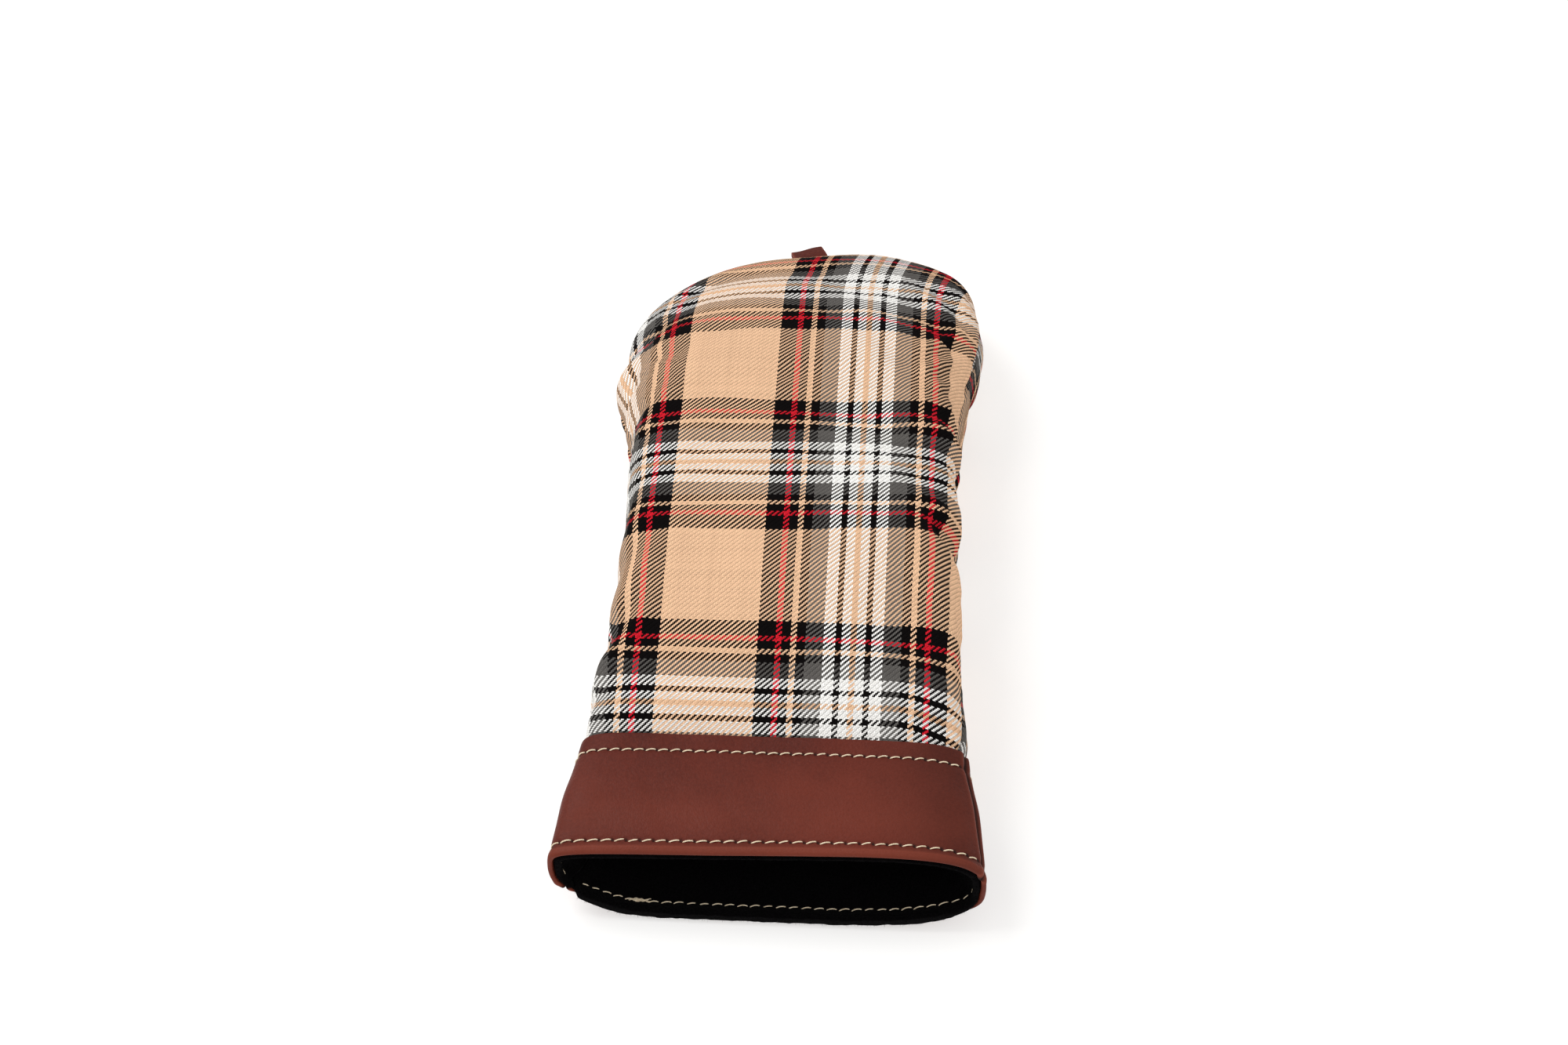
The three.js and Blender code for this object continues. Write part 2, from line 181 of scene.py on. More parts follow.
def outline(t):
    """Seam outline in plan, at a parameter that counts its control points."""
    t = np.asarray(t, float)
    k = np.clip(np.floor(t).astype(int), 0, LAST - 1)
    f = (t - k)[..., None]
    start, end = outline_points[k], outline_points[k + 1]
    before = np.where((k > 0)[..., None], outline_points[k - 1], 2 * start - end)
    beyond = outline_points[np.minimum(k + 2, LAST)]
    after = np.where((k + 2 <= LAST)[..., None], beyond, 2 * end - start)
    return 0.5 * (2 * start + (end - before) * f
                  + (2 * before - 5 * start + 4 * end - after) * f ** 2
                  + (3 * start - before - 3 * end + after) * f ** 3)


def inset_outline(t, depth):
    """A point of the outline, moved inwards."""
    step = 1e-3
    tangent = unit(outline(np.minimum(t + step, LAST)) - outline(np.maximum(t - step, 0)))
    inward = np.stack([tangent[..., 1], -tangent[..., 0]], -1)
    return outline(t) + inward * np.asarray(depth)[..., None]


left_parameters = np.linspace(0, LEFT_CORNER, SIDE_SAMPLES)
left_stations = outline(left_parameters)[:, 1]
right_parameters = np.linspace(LAST, RIGHT_CORNER, SIDE_SAMPLES)
right_stations = outline(right_parameters)[:, 1]


def plan_points(across, station, depth):
    """Level rows between the two sides, which take on the crown's bow as they near it:
    rows by columns."""
    bowed = (station / SHOULDER) ** ROW_LEVELNESS
    left_t = np.interp(station + (LEFT_SHOULDER - SHOULDER) * bowed,
                       left_stations, left_parameters)
    right_t = np.interp(station + (RIGHT_SHOULDER - SHOULDER) * bowed,
                        right_stations, right_parameters)
    crown_t = LEFT_CORNER + (RIGHT_CORNER - LEFT_CORNER) * across
    zero = np.zeros_like(station)
    left, right, crown_left, crown_right = (inset_outline(t, depth)[:, None] for t in (
        left_t, right_t, zero + LEFT_CORNER, zero + RIGHT_CORNER))
    crown = inset_outline(crown_t[None, :] + zero[:, None], depth[:, None] + 0 * across)
    h = across[None, :, None]
    bow = crown - (1 - h) * crown_left - h * crown_right
    return (1 - h) * left + h * right + bowed[:, None, None] * bow


def half_section(face, across, station, depth):
    """Points of the front (+1) or back (-1) half of the bag: rows by columns."""
    plan = plan_points(across, station, depth)
    s = plan[..., 1]
    row = station[:, None]
    if face > 0:
        squareness = np.where(across < 0.5, left_squareness(row), right_squareness(row))
    else:
        squareness = BACK_SQUARENESS
    off_centre = np.abs(2 * across - 1)[None, :] ** squareness
    roundness = np.maximum(0, 1 - off_centre) ** (1 / squareness)
    crown_start = CROWN_START_LEFT + (CROWN_START_RIGHT - CROWN_START_LEFT) * across
    closing = np.clip((row - crown_start) / (SHOULDER - crown_start), 0, 1)
    fullness = roundness * (1 - closing ** CROWN_CLOSING) ** (1 / CROWN_FULLNESS)
    seam = left_seam_height(s) * (1 - across) + right_seam_height(s) * across
    if face > 0:
        top = top_height(s) + top_tilt(s) * np.sin(np.pi * (across - 0.5))
        rise = (top - depth[:, None] - seam) * fullness
        lip = 0
    else:
        rise = (seam - underside(s) - depth[:, None]) * np.minimum(1, BACK_FLATNESS * fullness)
        lip = MOUTH_LIP * roundness
    y = s - HALF_LENGTH - (MOUTH_LEAN + lip) * (1 - row / SHOULDER) ** LEAN_FALLOFF
    return np.stack([plan[..., 0], y, seam + face * rise], -1)


def lengths_along(points, axis_weights=(1, 1, 1)):
    """Running length of each row of points, counting only the weighted axes."""
    steps = np.diff(points, axis=1) * np.array(axis_weights)
    running = np.cumsum(np.linalg.norm(steps, axis=-1), axis=1)
    return np.concatenate([np.zeros((len(points), 1)), running], axis=1)


def bag_grid(face, stations, depths, columns):
    """Evenly spaced points between the two side seams, for each station and depth.
    Also returns the distance across the cloth from its centre line."""
    stations = np.asarray(stations, float)
    depths = np.broadcast_to(np.asarray(depths, float), stations.shape)
    reach = np.cos(np.linspace(0, np.pi, SECTION_SAMPLES))
    across = (1 - np.sign(reach) * np.abs(reach) ** SECTION_CROWDING) / 2
    middle = SECTION_SAMPLES // 2
    near = half_section(face, across, stations, depths)
    far = half_section(-face, across, stations, depths)
    path = np.concatenate([far[:, middle:0:-1], near, far[:, -2:middle - 1:-1]], axis=1)
    travelled = lengths_along(path)
    cloth_across = lengths_along(path, (1, 0, 1))
    first, last = middle, middle + SECTION_SAMPLES - 1
    start = travelled[:, first] - face * left_seam_slip(stations)
    end = travelled[:, last] - face * right_seam_rise(stations)
    points = np.empty((len(stations), columns + 1, 3))
    cloth = np.empty((len(stations), columns + 1))
    fractions = np.linspace(0, 1, columns + 1)
    for r in range(len(stations)):
        wanted = start[r] + (end[r] - start[r]) * fractions
        for axis in range(3):
            points[r, :, axis] = np.interp(wanted, travelled[r], path[r, :, axis])
        centre = np.interp(0, path[r, first:last, 0], cloth_across[r, first:last])
        cloth[r] = np.interp(wanted, travelled[r], cloth_across[r]) - centre
    return points, cloth


def even_stations(first, spacing):
    """Stations from one near the mouth to the crown, evenly spaced over the top."""
    dense = np.linspace(first, SHOULDER, CROWN_SAMPLES)
    centre_line = half_section(1, np.array([0.5]), dense, np.zeros(CROWN_SAMPLES))[:, 0]
    travelled = lengths_along(centre_line[None])[0]
    count = int(round(travelled[-1] / spacing)) + 1
    return np.interp(np.linspace(0, travelled[-1], count), travelled, dense)


def grid_normals(points, face):
    """Outward normals of a grid of rows (towards the crown) by columns (to the right)."""
    normals = unit(face * np.cross(np.gradient(points, axis=1), np.gradient(points, axis=0)))
    if len(points) > 8 and len(normals[0]) > 8:
        # Where the crown meets the sides the grid folds flat and has no normal of its own.
        normals[-3:, :3] = normals[-4, 3]
        normals[-3:, -3:] = normals[-4, -4]
    return normals


def normals_out(face, columns, stations, last, count):
    """The bag's own outward normals at a list of stations, from an even grid that ends
    at a last station: for grids whose rows run round a profile."""
    shell, _ = bag_grid(face, np.linspace(0, last, count), 0, columns)
    normals = grid_normals(shell, face)
    where = np.clip(stations / last * (count - 1), 0, count - 1.001)
    low = where.astype(int)
    share = (where - low)[:, None, None]
    return normals[low] * (1 - share) + normals[low + 1] * share


# ---- meshes

def pushed(grid, directions, push, lowest):
    """A grid moved along the direction at each point, and kept above a height."""
    moved = grid + directions * push[..., None]
    moved[..., 2] = np.maximum(moved[..., 2], lowest)
    return moved


def mesh_object(name, points, faces, attributes=None, body="cover"):
    """A smooth-shaded mesh in metres from points in millimetres."""
    mesh = bpy.data.meshes.new(name)
    mesh.from_pydata((np.asarray(points) * MM).tolist(), [], list(faces))
    for label, values in (attributes or {}).items():
        values = np.asarray(values, np.float32)
        kind, field = ("FLOAT", "value") if values.ndim == 1 else ("FLOAT_VECTOR", "vector")
        layer = mesh.attributes.new(label, kind, "POINT")
        layer.data.foreach_set(field, values.ravel())
    mesh.polygons.foreach_set("use_smooth", [True] * len(mesh.polygons))
    mesh.update()
    obj = linked(name, mesh)
    if body:
        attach(obj, body)
    return obj


def linked(name, data):
    """A new object of the scene."""
    obj = bpy.data.objects.new(name, data)
    bpy.context.scene.collection.objects.link(obj)
    return obj


def numbered(rows, columns):
    return np.arange(rows * columns).reshape(rows, columns)


def grid_faces(index, face):
    """Quads between rows and columns of point numbers, that face outwards."""
    corners = [index[:-1, :-1], index[:-1, 1:], index[1:, 1:], index[1:, :-1]][::face]
    return np.stack(corners, -1).reshape(-1, 4)


def thick_sheet(name, face, outer, thickness, attributes=None):
    """A closed sheet whose outer skin is the grid and whose inner skin lies behind it."""
    index = numbered(*outer.shape[:2])
    count = index.size
    inner = outer - grid_normals(outer, face) * thickness
    points = np.concatenate([outer.reshape(-1, 3), inner.reshape(-1, 3)])
    loop = np.concatenate([index[0, :-1], index[:-1, -1], index[-1, :0:-1], index[:0:-1, 0]])
    after = np.roll(loop, -1)
    border = np.stack([loop, loop + count, after + count, after][::face], -1)
    faces = np.concatenate([grid_faces(index, face), grid_faces(index + count, -face), border])
    doubled = {label: np.concatenate([values.reshape(count, -1)] * 2).squeeze()
               for label, values in (attributes or {}).items()}
    return mesh_object(name, points, faces.tolist(), doubled)


def lofted_shell(name, face, grid, attributes=None, extra=None, body="cover"):
    """A closed shell swept across the bag from one closed profile: rows run round the
    profile and columns run from seam to seam. May carry extra points and faces."""
    index = numbered(*grid.shape[:2])
    faces = grid_faces(np.concatenate([index, index[:1]]), face).tolist()
    faces += [index[::face, 0].tolist(), index[::-face, -1].tolist()]
    flat = {label: values.ravel() for label, values in (attributes or {}).items()}
    points = grid.reshape(-1, 3)
    if extra is not None:
        points, faces = joined([(points, faces), extra])
    return mesh_object(name, points, faces, flat, body)


def joined(parts):
    """One list of points and one of faces from several such pairs."""
    faces = []
    total = 0
    for points, own_faces in parts:
        faces += [[corner + total for corner in face] for face in own_faces]
        total += len(points)
    return np.concatenate([points for points, _ in parts]), faces


# ---- materials

YARN = 0.56  # pitch of the cloth's threads
WEFT_RELIEF = 0.8  # height of the weft's floats against the warp's
TWILL_GROOVE_SHADE = 0.24  # how far painted shade darkens the groove beside each twill line
# Half a repeat of each stripe pattern, from the middle of the camel stripe to the
# middle of the white one, as (colour, threads).
CHECK_STRIPES = [("black", 12), ("red", 4), ("black", 6), ("camel", 4), ("black", 6),
                 ("grey", 12), ("white", 8), ("black", 4), ("white", 6), ("camel", 2)]
WARP_STRIPES = [("camel", 33)] + CHECK_STRIPES
WEFT_STRIPES = [("camel", 39)] + CHECK_STRIPES
YARN_COLOURS = {
    "camel": (0.88, 0.555, 0.345),
    "black": (0.0045, 0.0035, 0.0035),
    "red": (0.66, 0.014, 0.028),
    "grey": (0.120, 0.112, 0.104),
    "white": (0.97, 0.95, 0.91),
}
LEATHER_DEEP = (0.066, 0.0100, 0.0056)
LEATHER_BROWN = (0.112, 0.0180, 0.0096)
LEATHER_GRAIN = (0.156, 0.028, 0.0158)
LEATHER_PORE = (0.034, 0.0055, 0.0035)
# Worn leather, also used as painted highlight.
LEATHER_WORN_HIGHLIGHT = (0.215, 0.043, 0.0225)
# Painted shade for the leather's needle holes, cut ends and right end.
LEATHER_PAINTED_SHADE = (0.018, 0.005, 0.003)
FLEECE_DEEP = (0.0007, 0.0005, 0.0006)
FLEECE_TIPS = (0.0042, 0.0034, 0.0040)
LINT = (0.06, 0.05, 0.06)
THREAD_DEEP = (0.70, 0.56, 0.38)
THREAD_CREAM = (0.90, 0.78, 0.58)


class Value:
    """A node's output that can be added, subtracted and multiplied."""

    def __init__(self, nodes, socket):
        self.nodes, self.socket = nodes, socket

    def __add__(self, other):
        return self.nodes.math("ADD", self, other)

    def __sub__(self, other):
        return self.nodes.math("SUBTRACT", self, other)

    def __mul__(self, other):
        return self.nodes.math("MULTIPLY", self, other)


class Nodes:
    """Builds one material's node tree."""

    def __init__(self, name):
        self.material = bpy.data.materials.new(name)
        self.material.use_nodes = True
        self.tree = self.material.node_tree
        self.surface = self.tree.nodes["Principled BSDF"]

    def add(self, kind, inputs, output=0, **settings):
        """Adds a node and returns one of its outputs."""
        node = self.tree.nodes.new("ShaderNode" + kind)
        for label, value in settings.items():
            setattr(node, label, value)
        for key, value in inputs.items():
            self.set(node, key, value)
        return Value(self, node.outputs[output])

    def set(self, node, key, value):
        if isinstance(value, Value):
            self.tree.links.new(value.socket, node.inputs[key])
        elif isinstance(value, tuple) and len(value) == 3:
            node.inputs[key].default_value = (*value, 1)
        else:
            node.inputs[key].default_value = value

    def math(self, operation, *values, clamp=False):
        return self.add("Math", dict(enumerate(values)), operation=operation, use_clamp=clamp)

    def mix(self, share, first, second):
        return self.add("Mix", {0: share, 6: first, 7: second}, 2, data_type="RGBA")

    def choose(self, share, first, second):
        return self.add("Mix", {0: share, 2: first, 3: second}, data_type="FLOAT")

    def attribute(self, name, output="Fac"):
        return self.add("Attribute", {}, output, attribute_name=name)

    def noise(self, scale, detail=2.0, roughness=0.5):
        return self.add("TexNoise", {"Scale": scale, "Detail": detail, "Roughness": roughness,
                                     "Vector": self.add("TexCoord", {}, "Object")}, "Fac")

    def remap(self, value, low, high, to_low, to_high):
        return self.add("MapRange", {"Value": value, "From Min": low, "From Max": high,
                                     "To Min": to_low, "To Max": to_high})

    def finish(self, bump=None, **values):
        """Sets the surface's inputs; bump is (height, distance, strength)."""
        if bump:
            keys = ("Height", "Distance", "Strength")
            values["Normal"] = self.add("Bump", dict(zip(keys, bump)))
        for key, value in values.items():
            self.set(self.surface, key.replace("_", " "), value)
        return self.material


def stripe_ramp(nodes, thread, stripes):
    """The colour of a thread, from half a repeat that is mirrored at both ends."""
    total = sum(count for _, count in stripes)
    mirrored = nodes.math("PINGPONG", thread + 0.5, float(total))
    ramp = nodes.add("ValToRGB", {"Fac": nodes.math("DIVIDE", mirrored, float(total))})
    colours = ramp.socket.node.color_ramp
    colours.interpolation = "CONSTANT"
    colours.elements.remove(colours.elements[-1])
    passed = 0
    for k, (colour, count) in enumerate(stripes):
        element = colours.elements.new(passed / total) if k else colours.elements[0]
        element.position = passed / total
        element.color = (*YARN_COLOURS[colour], 1)
        passed += count
    return ramp


def tartan_material():
    """2/2 twill: each thread goes over two and under two, one step further each row."""
    nodes = Nodes("tartan_cloth")
    cloth = nodes.attribute("cloth", "Vector")
    across, along = (nodes.add("SeparateXYZ", {"Vector": cloth}, axis) for axis in "XY")
    warp, weft = nodes.math("FLOOR", across), nodes.math("FLOOR", along)
    step = nodes.math("FLOORED_MODULO", warp - weft, 4.0)
    warp_on_top = nodes.math("LESS_THAN", step, 1.5)

    def dome(position):
        """Height across one thread: 1 on its middle, falling towards its edges."""
        from_middle = nodes.math("FRACT", position) - 0.5
        fall = from_middle * from_middle * 3.4
        return nodes.math("SQRT", nodes.math("SUBTRACT", 1.0, fall, clamp=True))

    def float_arch(position, start):
        """Height along a float of two crossings: highest in its middle."""
        phase = nodes.math("FLOORED_MODULO", position, 4.0) - start
        return nodes.math("SINE", phase * (math.pi / 2), clamp=True) * 0.55 + 0.45

    def thread_tone(thread):
        return nodes.add("TexWhiteNoise", {"W": thread}, "Value", noise_dimensions="1D")

    warp_height = dome(across) * float_arch(warp - along + 1.0, 0.0)
    weft_height = dome(along) * float_arch(across - weft, 2.0) * WEFT_RELIEF
    height = nodes.choose(warp_on_top, weft_height, warp_height)
    tone = nodes.choose(warp_on_top, thread_tone(weft + 517.0), thread_tone(warp))
    fibres = nodes.noise(2600.0)
    patches = nodes.noise(28.0, 3.0)
    # Painted shade: the colour is darker where the threads dip between crossings and in the groove
    # beside each twill line. The thread tone, fibres and patches add real random tone.
    diagonal = nodes.math("COSINE", (across - along - 3.2) * (math.pi / 2))
    groove = nodes.math("POWER", nodes.remap(diagonal, -1.0, 1.0, 0.0, 1.0), 2.5)
    shade = nodes.remap(height, 0.2, 0.9, 0.62, 1.06) - groove * TWILL_GROOVE_SHADE
    shade = shade + nodes.remap(tone, 0.0, 1.0, -0.07, 0.07)
    shade = shade + nodes.remap(fibres, 0.3, 0.7, -0.07, 0.07)
    shade = shade + nodes.remap(patches, 0.3, 0.7, -0.02, 0.02)
    colour = nodes.mix(warp_on_top, stripe_ramp(nodes, weft, WEFT_STRIPES),
                       stripe_ramp(nodes, warp, WARP_STRIPES))
    shaded = nodes.add("VectorMath", {0: colour, 1: nodes.add("CombineXYZ", {
        "X": shade, "Y": shade, "Z": shade})}, operation="MULTIPLY")
    return nodes.finish(bump=(height + fibres * 0.35, 0.00024, 0.8), Base_Color=shaded,
                        Roughness=0.95, Specular_IOR_Level=0.03)


def leather_material():
    """Smooth brown leather: mottled and finely grained; wear and painted highlight make it warmer
    and paler where it is bent, and painted shade darkens its needle holes, cut ends and right end.
    """
    nodes = Nodes("brown_leather")
    clouds = nodes.noise(17.0, 3.0, 0.55)
    grain = nodes.noise(900.0, 3.0, 0.65)
    colour = nodes.mix(nodes.remap(clouds, 0.36, 0.64, 0.0, 1.0), LEATHER_DEEP, LEATHER_BROWN)
    colour = nodes.mix(nodes.remap(grain, 0.44, 0.70, 0.0, 0.30), colour, LEATHER_GRAIN)
    colour = nodes.mix(nodes.remap(grain, 0.28, 0.44, 0.22, 0.0), colour, LEATHER_PORE)
    # Partly wear and partly painted highlight: paler where the leather bends towards the light.
    colour = nodes.mix(nodes.attribute("wear_and_painted_highlight"), colour, LEATHER_WORN_HIGHLIGHT)
    # Painted shade: darker in the needle holes, at the cut ends and towards the right end.
    colour = nodes.mix(nodes.attribute("painted_leather_shade"), colour, LEATHER_PAINTED_SHADE)
    pores = nodes.add("TexVoronoi", {"Scale": 1500.0,
                                     "Vector": nodes.add("TexCoord", {}, "Object")}, "Distance")
    height = pores * 0.4 + grain + nodes.noise(240.0, 3.0, 0.6)
    roughness = nodes.remap(nodes.noise(120.0, 3.0), 0.3, 0.7, 0.46, 0.60)
    return nodes.finish(bump=(height, 0.00022, 0.8), Base_Color=colour,
                        Roughness=roughness, Specular_IOR_Level=0.13)


def fleece_material():
    """Deep black short-pile fleece."""
    nodes = Nodes("black_fleece")
    tufts = nodes.noise(1400.0, 4.0, 0.7)
    colour = nodes.mix(nodes.remap(tufts, 0.35, 0.75, 0.0, 1.0), FLEECE_DEEP, FLEECE_TIPS)
    colour = nodes.mix(nodes.remap(nodes.noise(520.0, 1.0), 0.82, 0.85, 0.0, 0.4), colour, LINT)
    return nodes.finish(bump=(tufts, 0.0008, 1.0), Base_Color=colour, Roughness=1.0,
                        Specular_IOR_Level=0.02, Sheen_Weight=0.016, Sheen_Roughness=0.4)


def thread_material():
    """Cream sewing thread with a twist."""
    nodes = Nodes("cream_thread")
    tone = nodes.noise(700.0)
    colour = nodes.mix(nodes.remap(tone, 0.3, 0.7, 0.0, 1.0), THREAD_DEEP, THREAD_CREAM)
    return nodes.finish(bump=(tone, 0.0001, 0.5), Base_Color=colour, Roughness=0.75,
                        Specular_IOR_Level=0.25, Sheen_Weight=0.1)


def soft_material(name, pale, dark, scale):
    """A hidden soft layer: fibrous and uneven."""
    nodes = Nodes(name)
    fibres = nodes.noise(scale, 4.0, 0.7)
    colour = nodes.mix(nodes.remap(fibres, 0.3, 0.7, 0.0, 1.0), dark, pale)
    return nodes.finish(bump=(fibres, 0.0006, 0.8), Base_Color=colour, Roughness=0.95,
                        Specular_IOR_Level=0.1)


materials = {
    "tartan_cloth": tartan_material(),
    "brown_leather": leather_material(),
    "black_fleece": fleece_material(),
    "cream_thread": thread_material(),
    "wadding": soft_material("wadding", (0.86, 0.84, 0.80), (0.70, 0.68, 0.64), 500.0),
    "white_elastic": soft_material("white_elastic", (0.86, 0.84, 0.81), (0.66, 0.64, 0.61), 1200.0),
}


def dress(obj, slot):
    """Gives a piece its material, and hides the CAD node it stands for."""
    obj.data.materials.clear()
    obj.data.materials.append(materials[slot])
    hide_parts(obj.name.split(".")[0])
    return obj


# ---- the cloth simulation

SIM_START = 40  # the simulated bag runs from under the cuff
SIM_SPACING = 4.5
SIM_COLUMNS = 40
SIM_FRAMES = 20
SEAM_SHRINK = 0.16
SEAM_REACH = 12.0  # how far from a seam the cloth is drawn in
SEAM_WRINKLES = 26  # how far the seams' wrinkles reach
SIM_HOLD = 0.15  # how firmly the padding holds the cloth to its shape
DRAPE_LIMIT = 2.4  # the furthest the simulation may move the cloth
MIDDLE_DRAPE = 0.35  # share of the wrinkles left in the middle of a panel
CLOTH_SETTINGS = {
    "quality": 6, "mass": 0.2, "tension_stiffness": 20, "compression_stiffness": 20,
    "shear_stiffness": 6, "bending_stiffness": 0.4, "use_pressure": True,
    "uniform_pressure_force": 0.5, "shrink_min": 0, "shrink_max": SEAM_SHRINK,
}


def welded_bag(front, back):
    """Points and outward quads of one bag made of two grids that share their border."""
    rows, columns = front.shape[:2]
    front_index = numbered(rows, columns)
    back_index = front_index.copy()
    back_index[:-1, 1:-1] = rows * columns + numbered(rows - 1, columns - 2)
    points = np.concatenate([front.reshape(-1, 3), back[:-1, 1:-1].reshape(-1, 3)])
    faces = np.concatenate([grid_faces(front_index, 1), grid_faces(back_index, -1)])
    return points, faces, front_index, back_index


def weight_group(obj, name, weights):
    group = obj.vertex_groups.new(name=name)
    for k, weight in enumerate(weights):
        if weight > 0:
            group.add([k], float(weight), "REPLACE")
    return name


def simulated(points, faces, pinned, drawn_in):
    """Where the cloth goes when it is filled and its seams are drawn in, in millimetres."""
    obj = mesh_object("cloth_simulation", points, faces, body=None)
    modifier = obj.modifiers.new("cloth", "CLOTH")
    settings = modifier.settings
    for label, value in CLOTH_SETTINGS.items():
        setattr(settings, label, value)
    settings.vertex_group_mass = weight_group(obj, "pinned", pinned)
    settings.vertex_group_shrink = weight_group(obj, "drawn_in", drawn_in)
    settings.effector_weights.gravity = 0
    modifier.point_cache.frame_start = 1
    modifier.point_cache.frame_end = SIM_FRAMES
    scene = bpy.context.scene
    for k in range(1, SIM_FRAMES + 1):
        scene.frame_set(k)
    settled = obj.evaluated_get(bpy.context.evaluated_depsgraph_get())
    moved = np.empty(len(points) * 3)
    settled.data.vertices.foreach_get("co", moved)
    bpy.data.objects.remove(obj)
    scene.frame_set(1)
    return moved.reshape(-1, 3) / MM


def blurred(ring, rounds, around=0.125, along=0.125):
    """Repeated averaging with the neighbours round and along the bag."""
    for _ in range(rounds):
        padded = np.concatenate([ring[:1], ring, ring[-1:]])
        beside = np.roll(ring, 1, axis=1) + np.roll(ring, -1, axis=1)
        before_after = padded[:-2] + padded[2:]
        ring = (1 - 2 * around - 2 * along) * ring + around * beside + along * before_after
    return ring


def simulate_drape():
    """Outward movement of the cloth in wrinkles, on a ring of columns right round the
    bag: the simulation's result less its broad swelling."""
    stations = even_stations(SIM_START, SIM_SPACING)
    front, back = (bag_grid(face, stations, 0, SIM_COLUMNS)[0] for face in (1, -1))
    points, faces, front_index, back_index = welded_bag(front, back)
    pinned = np.zeros(len(points))
    drawn_in = np.zeros(len(points))
    for grid, index in ((front, front_index), (back, back_index)):
        drawn_in[index] = np.maximum(drawn_in[index], bell(seam_distance(grid), SEAM_REACH))
        pinned[index] = np.where(stations < CUFF_DEPTH + 2, 1, SIM_HOLD)[:, None]
    moved = simulated(points, faces, pinned, drawn_in) - points
    on_front = (moved[front_index] * grid_normals(front, 1)).sum(-1)
    on_back = (moved[back_index] * grid_normals(back, -1)).sum(-1)
    ring = np.concatenate([on_front, on_back[:, -2:0:-1]], axis=1)
    from_seam = np.arange(2 * SIM_COLUMNS) % SIM_COLUMNS
    from_seam = np.minimum(from_seam, SIM_COLUMNS - from_seam) * SIM_SPACING
    wrinkles = blurred(ring, 1) - blurred(ring, 60, 0.02, 0.25)
    wrinkles *= MIDDLE_DRAPE + (1 - MIDDLE_DRAPE) * bell(from_seam, SEAM_WRINKLES)
    wrinkles *= smoothstep(0, 4, len(stations) - 1.0 - np.arange(len(stations)))[:, None]
    return stations, DRAPE_LIMIT * np.tanh(wrinkles / DRAPE_LIMIT)


def seam_distance(grid):
    """Distance of each point of a panel from the nearest sewn edge of the body."""
    travelled = lengths_along(grid)
    from_right = travelled[:, -1:] - travelled
    up = lengths_along(np.swapaxes(grid, 0, 1)).T
    return np.minimum(np.minimum(travelled, from_right), up[-1:] - up)


def cubic_weights(positions, count, wraps):
    """Catmull-Rom weights that pick values at fractional positions from a row of them."""
    weights = np.zeros((len(positions), count))
    start = np.floor(positions).astype(int)
    t = positions - start
    basis = [(-t + 2 * t ** 2 - t ** 3) / 2, (2 - 5 * t ** 2 + 3 * t ** 3) / 2,
             (t + 4 * t ** 2 - 3 * t ** 3) / 2, (t ** 3 - t ** 2) / 2]
    for k, weight in enumerate(basis):
        index = start + k - 1
        index = index % count if wraps else np.clip(index, 0, count - 1)
        np.add.at(weights, (np.arange(len(positions)), index), weight)
    return weights


drape_stations, drape_ring = simulate_drape()


def drape(face, stations, columns):
    """The simulated wrinkles on one panel's grid, outwards, in millimetres."""
    row = np.interp(stations, drape_stations, np.arange(len(drape_stations)))
    column = np.linspace(0, SIM_COLUMNS, columns + 1)
    if face < 0:
        column = 2 * SIM_COLUMNS - column
    by_row = cubic_weights(row, len(drape_stations), False)
    by_column = cubic_weights(column, 2 * SIM_COLUMNS, True)
    free = smoothstep(CUFF_DEPTH + 1, CUFF_DEPTH + 10, np.asarray(stations, float))
    return (by_row @ drape_ring @ by_column.T) * free[:, None]


# ---- the cloth body

CLOTH_SPACING = 1.5
PANEL_START = 34  # the cloth starts under the cuff
PANEL_COLUMNS = 118
UNDER_CUFF = 2.1  # the cloth's depth there
WARP_FROM_CENTRE = -25.8  # where the middle of a camel stripe runs
CUFF_EDGE_WEFT = -125.5  # weft threads from a camel stripe's middle to the cuff
BACK_CLOTH_SHIFT = (40.0, 22.0, 0.0)  # threads between the front's check and the back's
WEFT_SKEW = 0.045  # slope of the weft against the body, above the neck
DRAG = 15.0  # how far the cloth is pulled up in the fold above the cuff
DRAG_STATION = 88
DRAG_REACH = 24.0
SEAM_GROOVE = 1.3
PUCKER_HEIGHT = 0.55
CROWN_DROOP = 9.0  # how far the stripes sag over the crown's right shoulder
CUFF_DROOP = 5.0  # and at the right, above the cuff
CROWN_LEAN = 6.5  # how far the warp has been pulled to the right at the crown

clear_of_cuff = smooth_profile([
    (0, UNDER_CUFF), (PANEL_START, UNDER_CUFF), (CUFF_DEPTH, UNDER_CUFF), (50, 1.0),
    (55, 0.2), (60, 0), (SHOULDER, 0)])


def cloth_coordinates(grid, cloth_across, stations):
    """Thread counts across and along the cloth, for every point of a panel."""
    x, station = grid[..., 0], grid[..., 1] + HALF_LENGTH
    along = lengths_along(np.swapaxes(grid, 0, 1), (0, 1, 1)).T
    along = along - along[np.searchsorted(stations, CUFF_DEPTH)]
    askew = WEFT_SKEW * smoothstep(90, 150, station) * x
    lean = CROWN_LEAN * smoothstep(258, SHOULDER + 2, np.asarray(stations, float))[:, None]
    droop = CROWN_DROOP * smoothstep(28, 74, x) * smoothstep(205, 285, station)
    droop = droop + CUFF_DROOP * smoothstep(44, 72, x) * bell(station - 50, 24)
    down_the_side = 1 - smoothstep(22, 38, lengths_along(grid))
    dragged = DRAG * down_the_side * bell(station - DRAG_STATION, DRAG_REACH)
    warp = (cloth_across - WARP_FROM_CENTRE - lean) / YARN
    weft = (along - askew + droop - dragged) / YARN + CUFF_EDGE_WEFT
    return np.stack([warp, weft, np.zeros_like(warp)], -1)


